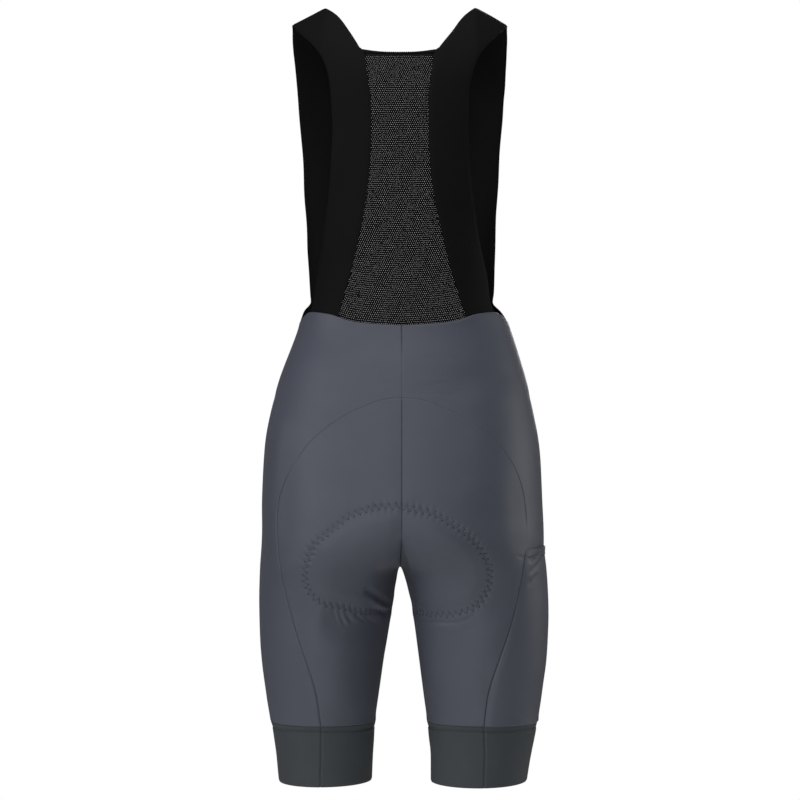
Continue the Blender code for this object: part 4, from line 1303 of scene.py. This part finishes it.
def stitchTree():
    # short threads laid along a line, flat on the cloth
    tree, given, result = newTree("stitchRow", Spacing="Float", Length="Float", Width="Float",
                                  Turn="Float", Thread="Material")
    curve = addOutput(tree, "GeometryNodeMeshToCurve", Mesh=given["Geometry"])
    even = addOutput(tree, "GeometryNodeResampleCurve", mode="LENGTH", Curve=curve,
                     Length=given["Spacing"])
    thread = bead(tree, X=given["Length"], Y=given["Width"], Z=given["Width"])
    bearing = addOutput(tree, "ShaderNodeCombineXYZ", Z=given["Turn"])
    thread = addOutput(tree, "GeometryNodeTransform", Geometry=thread, Rotation=bearing)
    turn = addOutput(tree, "FunctionNodeAlignRotationToVector", axis="X",
                     Vector=addOutput(tree, "GeometryNodeInputTangent"))
    turn = addOutput(tree, "FunctionNodeAlignRotationToVector", axis="Z", pivot_axis="X",
                     Rotation=turn, Vector=attributeOf(tree, "FLOAT_VECTOR", "clothNormal"))
    rows = addOutput(tree, "GeometryNodeInstanceOnPoints", Points=even, Instance=thread,
                     Rotation=turn)
    return closeTree(tree, result, rows, given["Thread"])


def dotTree():
    # a flat dot at every point, half sunk into the cloth
    tree, given, result = newTree("dotRow", Size="Float", Height="Float", Thread="Material")
    dot = bead(tree, X=given["Size"], Y=given["Size"], Z=given["Height"])
    turn = addOutput(tree, "FunctionNodeAlignRotationToVector", axis="Z",
                     Vector=attributeOf(tree, "FLOAT_VECTOR", "clothNormal"))
    rows = addOutput(tree, "GeometryNodeInstanceOnPoints", Points=given["Geometry"],
                     Instance=dot, Rotation=turn)
    return closeTree(tree, result, rows, given["Thread"])


def threadTree():
    # one continuous thread along a line
    tree, given, result = newTree("continuousThread", Thickness="Float", Thread="Material")
    curve = addOutput(tree, "GeometryNodeMeshToCurve", Mesh=given["Geometry"])
    ring = addOutput(tree, "GeometryNodeCurvePrimitiveCircle", Resolution=6,
                     Radius=calculate(tree, "MULTIPLY", given["Thickness"], 0.5))
    tube = addOutput(tree, "GeometryNodeCurveToMesh", Curve=curve, Profile_Curve=ring,
                     Fill_Caps=True)
    return closeTree(tree, result, tube, given["Thread"])


def netTree():
    # an eyelet in every cell: the outer face sinks to it, the inner face is flat round it
    tree, given, result = newTree("netEyelets", Dimple="Float", Eyelet="Float",
                                  Thickness="Float", Net="Material")
    cell = attributeOf(tree, "INT", "cell")
    inward = attributeOf(tree, "FLOAT_VECTOR", "inward")

    def chosen(number):
        compare = addNode(tree, "FunctionNodeCompare", data_type="INT", operation="EQUAL")
        tree.links.new(cell, compare.inputs[2])
        compare.inputs[3].default_value = number
        return compare.outputs[0]

    def sunk(mesh, selection, scale, **move):
        # a smaller face within each chosen one, moved or level with it
        extrude = addNode(tree, "GeometryNodeExtrudeMesh", mode="FACES", Mesh=mesh,
                          Selection=selection, Individual=True, **move).outputs
        mesh = addOutput(tree, "GeometryNodeScaleElements", domain="FACE", Scale=scale,
                         Geometry=extrude["Mesh"], Selection=extrude["Top"])
        return mesh, extrude["Top"]

    def opened(mesh, selection):
        return addOutput(tree, "GeometryNodeDeleteGeometry", domain="FACE", Geometry=mesh,
                         Selection=selection)

    share = calculate(tree, "MULTIPLY", given["Dimple"], given["Eyelet"])
    mesh, top = sunk(given["Geometry"], chosen(1), given["Dimple"], Offset_Scale=0.0)
    mesh, top = sunk(mesh, top, given["Eyelet"], Offset=inward, Offset_Scale=given["Thickness"])
    mesh, top = sunk(opened(mesh, top), chosen(2), share, Offset_Scale=0.0)
    mesh = addOutput(tree, "GeometryNodeMergeByDistance", Geometry=opened(mesh, top),
                     Distance=0.00003)
    return closeTree(tree, result, mesh, given["Net"])


stitchRow, dotRow, continuousThread, netEyelets = stitchTree(), dotTree(), threadTree(), netTree()


def linePiece(name, points, normals, closed=False):
    # a mesh of plain edges that carries the cloth's normals
    count = len(points)
    edges = [(i, (i + 1) % count) for i in range(count if closed else count - 1)]
    mesh = bpy.data.meshes.new(name)
    mesh.from_pydata(points.tolist(), edges, [])
    attribute = mesh.attributes.new("clothNormal", "FLOAT_VECTOR", "POINT")
    attribute.data.foreach_set("vector", normals.ravel())
    return addPiece(name, mesh)


# Back net and neck binding
netPanel = {
    "pitch": 0.00247,        # from eyelet to eyelet
    "rowPitch": 0.00248,
    "dimple": 0.58,          # share of a cell
    "eyelet": 0.26,          # share of the dimple
    "under": 0.0030,         # how far the net runs on below the pieces sewn to it
    "depth": 0.0003,         # below the worn form
    "edgeDepths": (0.0019, 0.0021, 0.0010),    # beneath the straps, the waist, the binding
    "past": 0.0005,          # how far past an edge it begins to rise, and over which width
    "slope": 0.0050,
    "start": 0.0042,         # how far the net begins above its top edge
    "hemmed": (0.0006, 0.0004, 0.0008),    # plain cells past the side, the top and the waist
}


def netCells():
    parts = np.linspace((bib["netTop"] - 0.005) / bib["backDrop"], 1.014, 500)
    down = alongLine(bibPoint(np.full(parts.shape, -math.pi / 2), parts))
    netTop = np.interp(bib["netTop"] / bib["backDrop"], parts, down)
    waist = np.interp(1.0, parts, down)
    pitch, side = netPanel["pitch"], netPanel["rowPitch"] / 1.5
    turns = np.linspace(0, 1.05, 160)

    def rowTable(v):
        part = np.interp(v, down, parts)
        across = alongLine(bibPoint(-math.pi / 2 + turns, np.full(turns.shape, part)))
        edge = float(bibEdges["backInner"](max(part, bib["netTop"] / bib["backDrop"] + 1e-4)))
        return part, across, float(np.interp(edge + math.pi / 2, turns, across))

    tables, keys, places, depths, cells = {}, {}, [], [], []

    def corner(i, k):
        # i counts half pitches across, k counts half sides down
        if (i, k) not in keys:
            u, v = i * pitch / 2, k * side / 2
            if k not in tables:
                tables[k] = rowTable(v)
            part, across, half = tables[k]
            keys[i, k] = len(places)
            turn = float(np.interp(abs(u), across, turns))
            places.append((turn, part, 1.0 if u >= 0 else -1.0))
            gaps = np.array((half - abs(u), waist - v, v - netTop)) + netPanel["past"]
            away = softStep(gaps / netPanel["slope"])
            depths.append(blend(np.array(netPanel["edgeDepths"]), netPanel["depth"], away).max())
        return keys[i, k]

    beyond, above, below = netPanel["hemmed"]
    for row in range(1, int(down[-1] / (1.5 * side)) + 1):
        v = row * 1.5 * side
        if not netTop - netPanel["start"] < v < waist + netPanel["under"]:
            continue
        half = rowTable(v)[2]
        reach = int((half + netPanel["under"]) / pitch) + 2
        for column in range(-reach, reach + 1):
            i, k = 2 * column + row % 2, 3 * row
            u = i * pitch / 2
            if abs(u) < half + netPanel["under"]:
                loop = [corner(i + a, k + b) for a, b in
                        ((0, -2), (-1, -1), (-1, 1), (0, 2), (1, 1), (1, -1))]
                plain = abs(u) > half + beyond or v < netTop - above or v > waist + below
                cells.append((loop, plain))
    turn, part, sign = np.array(places).T
    points = bibPoint(-math.pi / 2 + turn, part)
    normals = bibNormal(-math.pi / 2 + turn, part)
    mirror = np.ones(points.shape)
    mirror[:, 0] = sign
    return points * mirror, normals * mirror, np.array(depths)[:, None], cells


def backNet():
    points, normals, depths, cells = netCells()
    outer = points - normals * depths
    inner = outer - normals * clothLook["net"]
    count = len(points)
    faces = [loop for loop, _ in cells]
    faces += [[k + count for k in reversed(loop)] for loop, _ in cells]
    marks = [0 if plain else 1 for _, plain in cells] + [0 if plain else 2 for _, plain in cells]
    edges = {(loop[k - 1], loop[k]) for loop, _ in cells for k in range(6)}
    for start, end in sorted(edges):
        if (end, start) not in edges:
            faces.append([end, start, start + count, end + count])
            marks.append(0)
    mesh = bpy.data.meshes.new("backMesh")
    mesh.from_pydata(np.vstack((outer, inner)).tolist(), [], faces)
    mesh.attributes.new("cell", "INT", "FACE").data.foreach_set("value", marks)
    inward = np.array([-normals[[k % count for k in face]].mean(axis=0) for face in faces])
    attribute = mesh.attributes.new("inward", "FLOAT_VECTOR", "FACE")
    attribute.data.foreach_set("vector", inward.ravel())
    piece = addPiece("backMesh", mesh)
    applyTree(piece, netEyelets, Dimple=netPanel["dimple"], Eyelet=netPanel["eyelet"],
              Thickness=clothLook["net"], Net=netYarn)
    print("net cells", len(cells), "faces", len(piece.data.polygons))
    return piece


neckBinding = {
    "top": 0.0592,           # depth of its two edges below the shoulders, at the straps
    "bottom": 0.0634,
    "sag": 0.0040,           # how far the middle of the neck hangs
    "sagLow": 0.0018,
    "thick": 0.0021,
    "proud": 0.0004,
    "overlap": 0.0012,       # past the strap's corner
    "radius": 0.086,         # turns an angle into a width
    "roundness": 0.7,        # below 1, the section is squarer than an oval
    "loopWidth": 0.0011,     # its width on the flat cloth, for one radian round it
    "sharp": 60,             # degrees
}


def binding():
    edge = float(bibEdges["backInner"](bib["netTop"] / bib["backDrop"] + 1e-4)) + math.pi / 2
    edge += neckBinding["overlap"] / neckBinding["radius"]
    share, loop = np.meshgrid(np.linspace(-1, 1, 97),
                              np.linspace(0, 2 * math.pi, 20, endpoint=False), indexing="ij")
    sag = 1 - share ** 2
    top = neckBinding["top"] + neckBinding["sag"] * sag
    bottom = neckBinding["bottom"] + neckBinding["sagLow"] * sag
    cosine, sine = (np.sign(wave) * np.abs(wave) ** neckBinding["roundness"]
                    for wave in (np.cos(loop), np.sin(loop)))
    part = (top + bottom) / 2 - (bottom - top) / 2 * cosine
    turn = np.abs(share) * edge
    part = -part / waistHeight(-math.pi / 2 + turn)
    points, normals = bibPoint(-math.pi / 2 + turn, part), bibNormal(-math.pi / 2 + turn, part)
    mirror = np.ones(points.shape)
    mirror[..., 0] = np.where(share < 0, -1, 1)
    points, normals = points * mirror, normals * mirror
    depth = neckBinding["thick"] / 2 * (1 - sine) - neckBinding["proud"]
    points = points - normals * depth[..., None]
    rows, columns = share.shape
    faces = gridFaces(rows, columns, closed=True)
    faces.append(list(range(columns)))
    faces.append([(rows - 1) * columns + k for k in reversed(range(columns))])
    mesh = bpy.data.meshes.new("neckBinding")
    mesh.from_pydata(points.reshape(-1, 3).tolist(), [], faces)
    layer = mesh.uv_layers.new(name="clothUV")
    corners = np.array([k for face in faces for k in face])
    along, across = share * edge * neckBinding["radius"], loop * neckBinding["loopWidth"]
    flat = np.stack((along, across), axis=-1).reshape(-1, 2)
    layer.data.foreach_set("uv", flat[corners].ravel())
    mesh.materials.append(bibCloth)
    mesh.shade_smooth()
    mesh.set_sharp_from_angle(angle=math.radians(neckBinding["sharp"]))
    return addPiece("neckBinding", mesh)


def outwards(piece):
    # turns the faces of a closed piece outwards if its volume is negative
    mesh = piece.data
    mesh.calc_loop_triangles()
    points = np.array([vertex.co for vertex in mesh.vertices])
    corners = np.array([triangle.vertices for triangle in mesh.loop_triangles])
    a, b, c = (points[corners[:, k]] for k in range(3))
    if (a * np.cross(b, c)).sum() < 0:
        mesh.flip_normals()
    return piece


finishPiece(backNet(), "net", "back_mesh_panel")
finishPiece(outwards(binding()), "bib_cloth", "neck_binding")
print("net and binding ready")

# Stitching that shows on the outside
stitching = {
    "padReach": 0.0030,      # from the line of the zigzag to its corners
    "padThread": 0.00050,
    "uneven": 0.0004,
    "padRise": 0.28,         # shares of its thickness: between the corners, and the dive at one
    "padDip": 0.55,
    "dipWidth": 0.13,        # share of a stroke
    "shadowDrop": 0.00045,    # how much lower the dark thread lies that paints the zigzag's shadow
    "holeSize": 0.00130,     # dark dots at its corners, painted shade of the needle holes
    "holeHeight": 0.00030,
    "holeLift": 0.00012,
    "ladderPitch": 0.0021,   # bars across the centre back seam
    "ladderLength": 0.0019,
    "coverPitch": 0.0025,    # rows on the leg bands and the pocket
    "coverLength": 0.0017,
    "width": 0.00042,
    "seamPitch": 0.0022,     # dark thread that shows in the leg seams and the centre back seam, painting the seam's shade line
    "seamLength": 0.0021,
    "seamTop": -0.560,       # where the thread begins to show in the left leg seam
    "seamLift": 0.00045,
    "ladderLift": 0.00035,
    "coverLift": 0.00008,
    "coverUp": 0.0016,       # above the line of the strip or the hem
    "rowMargin": 0.03,       # radians left free at both ends of the pocket's row
    "strokePoints": 6,       # along one stroke of the zigzag
}


def besideLine(line, reach):
    # heights and angles beside a line, a signed reach away along the cloth
    height, angle = line.T
    point = ringPoint(height, angle)
    byAngle = (ringPoint(height, angle + 1e-4) - point) / 1e-4
    byHeight = (ringPoint(height + 1e-5, angle) - point) / 1e-5
    across = unit(np.cross(bodyNormal(height, angle), np.gradient(point, axis=0)))
    across = across * reach[:, None]
    a, b, c = (byAngle ** 2).sum(-1), (byAngle * byHeight).sum(-1), (byHeight ** 2).sum(-1)
    p, q = (across * byAngle).sum(-1), (across * byHeight).sum(-1)
    size = a * c - b * b
    return height + (a * q - b * p) / size, angle + (c * p - b * q) / size


def padZigzag(side, word):
    margin, step = padSeam["margin"], stitching["strokePoints"]
    line = padLines[side][margin:-margin]
    strokes = padStrokes(side)
    place = np.linspace(0, len(line) - 1, strokes * step + 1)
    spots = np.stack([np.interp(place, np.arange(len(line)), line[:, k]) for k in (0, 1)], axis=1)
    chance = np.random.default_rng(7 + side)
    corner = np.where(np.arange(strokes + 1) % 2, 1.0, -1.0) * stitching["padReach"]
    corner = corner + chance.normal(0, stitching["uneven"], strokes + 1)
    stroke = np.arange(len(place)) / step
    height, angle = besideLine(spots, np.interp(stroke, np.arange(strokes + 1), corner))
    fromCorner = np.abs((stroke + 0.5) % 1 - 0.5)
    dip = stitching["padDip"] * np.exp(-(fromCorner / stitching["dipWidth"]) ** 2)
    rise = stitching["padThread"] * (stitching["padRise"] - dip)
    points, normals = wornSurface(height, angle, side, rise)
    # a pale thread coloured lighter than the cloth as a painted highlight, and just below it a
    # dark thread that paints the zigzag's shadow
    for label, drop, thread in (("padStitch_", 0.0, threadPadHighlight),
                                ("padShadow_", stitching["shadowDrop"], threadShadeGrey)):
        piece = linePiece(label + word, points - (0, 0, drop), normals)
        applyTree(piece, continuousThread, Thickness=stitching["padThread"], Thread=thread)
        finishPiece(piece, "stretch_cloth")
    # dark dots at the corners paint the shade of the needle holes
    points, normals = wornSurface(height[::step], angle[::step], side, stitching["holeLift"])
    piece = linePiece("padHoleShade_" + word, points, normals)
    applyTree(piece, dotRow, Size=stitching["holeSize"], Height=stitching["holeHeight"],
              Thread=needleHoleShade)
    finishPiece(piece, "stretch_cloth")


def stitchLine(name, points, normals, kind, slot, turn=0.0, closed=False):
    piece = linePiece(name, points, normals, closed)
    applyTree(piece, stitchRow, Spacing=stitching[kind + "Pitch"],
              Length=stitching[kind + "Length"], Width=stitching["width"], Turn=turn,
              Thread=threadShadeGrey)
    finishPiece(piece, slot)


def centreLadder():
    height = np.linspace(wornForm["archTop"] - 0.001, wornForm["crotch"] + 0.004, 260)
    points, normals = wornSurface(height, startAngle(height), 1, stitching["ladderLift"],
                                  atCentre=np.ones(height.shape, bool))
    stitchLine("centreStitch", points, normals, "ladder", "stretch_cloth", turn=math.pi / 2)


def seamThread(side, name):
    # a near-continuous dark stitch row laid in the groove paints the seam's shade line
    top = seamLook["calmTo"] if side > 0 else stitching["seamTop"]
    height = np.linspace(top, wornForm["bandTop"] + 0.001, 500)
    points, normals = wornSurface(height, angleAt(height, seatSeamX(height)), side,
                                  stitching["seamLift"])
    stitchLine(name, points, normals, "seam", "stretch_cloth")


def bandRow(side, name):
    turn = np.linspace(0, 2 * math.pi, 400)[:-1]
    height = wornForm["bandTop"] - legBand["head"] + stitching["coverUp"]
    points, normals = bandSurface(np.full(turn.shape, height), turn, side)
    points = points + normals * stitching["coverLift"]
    stitchLine(name, points, normals, "cover", "band_knit", closed=True)


def pocketRow(name):
    height = pocket["mouth"] - pocket["hem"] + stitching["coverUp"]
    start, end = float(angleAt(height, seatSeamX(height))), math.radians(float(thighLine(height)))
    angle = np.linspace(start + stitching["rowMargin"], end - stitching["rowMargin"], 200)
    points, normals, _ = pocketSurface(np.full(200, height), angle, stitching["coverLift"])
    stitchLine(name, points, normals, "cover", "stretch_cloth")


for side, word in ((1, "right"), (-1, "left")):
    padZigzag(side, word)
    seamThread(side, "seamShadeStitch_" + word)
    bandRow(side, "bandStitch_" + word)
centreLadder()
pocketRow("pocketStitch_right")
print("stitching ready")

# Seat pad: foam behind the crotch, thin at its edge
seatPad = {
    # height, half width on the back, half width on the front
    "outline": ((-0.5922, 0.000, 0.000), (-0.5945, 0.018, 0.008), (-0.6040, 0.050, 0.022),
                (-0.6150, 0.068, 0.031), (-0.6270, 0.083, 0.038), (-0.6400, 0.095, 0.043),
                (-0.6560, 0.103, 0.047), (-0.6684, 0.1065, 0.049), (-0.6860, 0.1045, 0.050),
                (-0.6990, 0.097, 0.048), (-0.7080, 0.082, 0.044), (-0.7140, 0.060, 0.036),
                (-0.7180, 0.038, 0.026), (-0.7205, 0.0215, 0.0185)),
    "edge": 0.0015,
    "thick": 0.0058,
    "clearance": 0.0005,
    "grooves": ((0.34, 0.0014, 0.035), (0.66, 0.0016, 0.035)),    # place across, depth, width
    "centreGroove": 0.0018,
    "grooveWidth": 0.006,
    "grooveRun": 0.02,       # height above the crotch over which the centre groove starts
    "thinnest": 0.0012,
    "columns": (46, 28),     # on the back and on the front
}


def padRows():
    top, bottom, crotch = seatPad["outline"][0][0], seatPad["outline"][-1][0], wornForm["crotch"]
    head = np.array((0, 0.15, 0.5, 1.1, 1.9, 3.0, 4.4)) / 1000
    even = np.arange(top - 0.0064, crotch + 0.005, -0.0022)
    low = np.linspace(crotch - 0.0064, bottom, 24)
    return np.concatenate((top - head, even, crotch + crotchAbove, crotch - crotchBelow,
                           (crotch - 0.0044,), low))


def chamoisPad():
    heights = padRows()
    share = (heights[0] - heights) / (heights[0] - heights[-1])
    rise = 1 - (2 * share - 1) ** 6
    table = np.array(seatPad["outline"])
    grids = {}
    for side in (1, -1):
        for half, toFront in ((0, False), (1, True)):
            width = monotoneCurve(table[:, 0], table[:, 1 + half])(heights)
            start = startAngle(heights)
            end = np.maximum(angleAt(heights, width), start)
            count = seatPad["columns"][half]
            across = np.linspace(0, 1, count)[None]
            angle = blend(start[:, None], end[:, None], across) * (-1 if toFront else 1)
            height = np.broadcast_to(heights[:, None], angle.shape)
            centre = np.zeros(angle.shape, bool)
            centre[heights >= wornForm["crotch"] - 1e-7, 0] = True
            centre[0] = True
            outer, normal = wornSurface(height, angle, side, atCentre=centre)
            outer = outer - normal * (clothLook["shorts"] + seatPad["clearance"])
            thick = blend(seatPad["edge"], seatPad["thick"], rise[:, None] * (1 - across ** 4))
            for place, depth, spread in seatPad["grooves"]:
                thick = thick - depth * rise[:, None] * np.exp(-((across - place) / spread) ** 2)
            groove = np.exp(-(outer[..., 0] / seatPad["grooveWidth"]) ** 2)
            above = softStep((heights - wornForm["crotch"]) / seatPad["grooveRun"])[:, None]
            thick = thick - seatPad["centreGroove"] * rise[:, None] * groove * above
            thick = np.maximum(thick, seatPad["thinnest"])
            grids[side, toFront] = (outer, normal, thick, centre, height, angle)
    outer, inner, uv, faces = [], [], [], []
    for side in (1, -1):
        for toFront in (False, True):
            points, normal, thick, centre, height, angle = grids[side, toFront]
            both = (points + grids[-side, toFront][0] * (-1, 1, 1)) / 2
            points, normal = points.copy(), normal.copy()
            points[centre] = both[centre] * (0, 1, 1)
            normal[centre] *= (0, 1, 1)
            inside = points - normal * thick[..., None]
            if not toFront:
                back = points[:, 0], inside[:, 0]
            else:
                below = heights < wornForm["crotch"] + 1e-7
                points[below, 0], inside[below, 0] = back[0][below], back[1][below]
            grid = gridFaces(*points.shape[:2], offset=len(outer))
            faces += grid if (side > 0) != toFront else [face[::-1] for face in grid]
            outer += points.reshape(-1, 3).tolist()
            inner += inside.reshape(-1, 3).tolist()
            uv += clothUv(height, angle).reshape(-1, 2).tolist()
    return clothWall("chamoisPad", np.array(outer), np.array(inner), faces, np.array(uv), padFoam)


pad = finishPiece(chamoisPad(), "pad_foam", "chamois_pad")
print("pad ready")

# Stage, light and camera
studio = {
    "floorHeight": -1.30,
    "floorRadius": 1.25,
    "floorColour": (0.86, 0.86, 0.85, 1),
    "ambient": 0.035,
    "aim": (0, 0, -0.5),     # where the lamps point
    # place, size and power of each soft lamp
    "lamps": {
        "key": ((-2.4, -2.6, 0.5), 1.4, 13.0),
        "left": ((-3.4, -1.6, 0.2), 1.6, 35.0),
        "front": ((-0.3, -3.6, 0.9), 1.8, 26.0),
        "low": ((-0.6, -3.4, -1.6), 1.6, 23.0),
        "top": ((0.0, -0.8, 2.0), 1.8, 33.0),
        "rim": ((2.9, 0.7, -0.3), 1.4, 21.0),
        "far": ((0.6, 3.3, 0.5), 1.8, 40.0),
    },
    "camera": (-0.0024, -3.3, -0.4704),
    "frameWidth": 0.96,      # what the camera sees across at the garment
    "sensor": 36,
}


def softLamp(name, place, size, power):
    light = bpy.data.lights.new(name, "AREA")
    light.shape = "DISK"
    light.size = size
    light.energy = power
    lamp = addPiece(name, light)
    lamp.location = place
    aim = Vector(studio["aim"]) - Vector(place)
    lamp.rotation_euler = aim.to_track_quat("-Z", "Y").to_euler()


def studioSky():
    # white behind the garment, a dim even light on it
    world = bpy.data.worlds.new("studio")
    bpy.context.scene.world = world
    world.use_nodes = True
    tree = world.node_tree
    sky = tree.nodes["Background"]
    sky.inputs["Color"].default_value = (1, 1, 1, 1)
    path = addNode(tree, "ShaderNodeLightPath").outputs
    strength = addOutput(tree, "ShaderNodeMapRange", Value=path["Is Camera Ray"],
                         To_Min=studio["ambient"], To_Max=1.0)
    tree.links.new(strength, sky.inputs["Strength"])


def studioFloor():
    turn = np.linspace(0, 2 * math.pi, 97)[:-1]
    radius, height = studio["floorRadius"], studio["floorHeight"]
    mesh = bpy.data.meshes.new("floor")
    mesh.from_pydata([(radius * math.cos(a), radius * math.sin(a), height) for a in turn], [],
                     [list(range(len(turn)))])
    paper = bpy.data.materials.new("floorPaper")
    paper.use_nodes = True
    shader = paper.node_tree.nodes["Principled BSDF"]
    shader.inputs["Base Color"].default_value = studio["floorColour"]
    shader.inputs["Roughness"].default_value = 0.8
    mesh.materials.append(paper)
    floor = addPiece("floor", mesh)


studioSky()
studioFloor()
for name, look in studio["lamps"].items():
    softLamp(name, *look)
bpy.context.scene.view_settings.view_transform = "Standard"

camera = bpy.data.cameras.new("camera")
camera.sensor_width = studio["sensor"]
camera.lens = studio["sensor"] * -studio["camera"][1] / studio["frameWidth"]
view = addPiece("camera", camera)
view.location = studio["camera"]
view.rotation_euler = (math.radians(90), 0, 0)
bpy.context.scene.camera = view
print("stage ready")
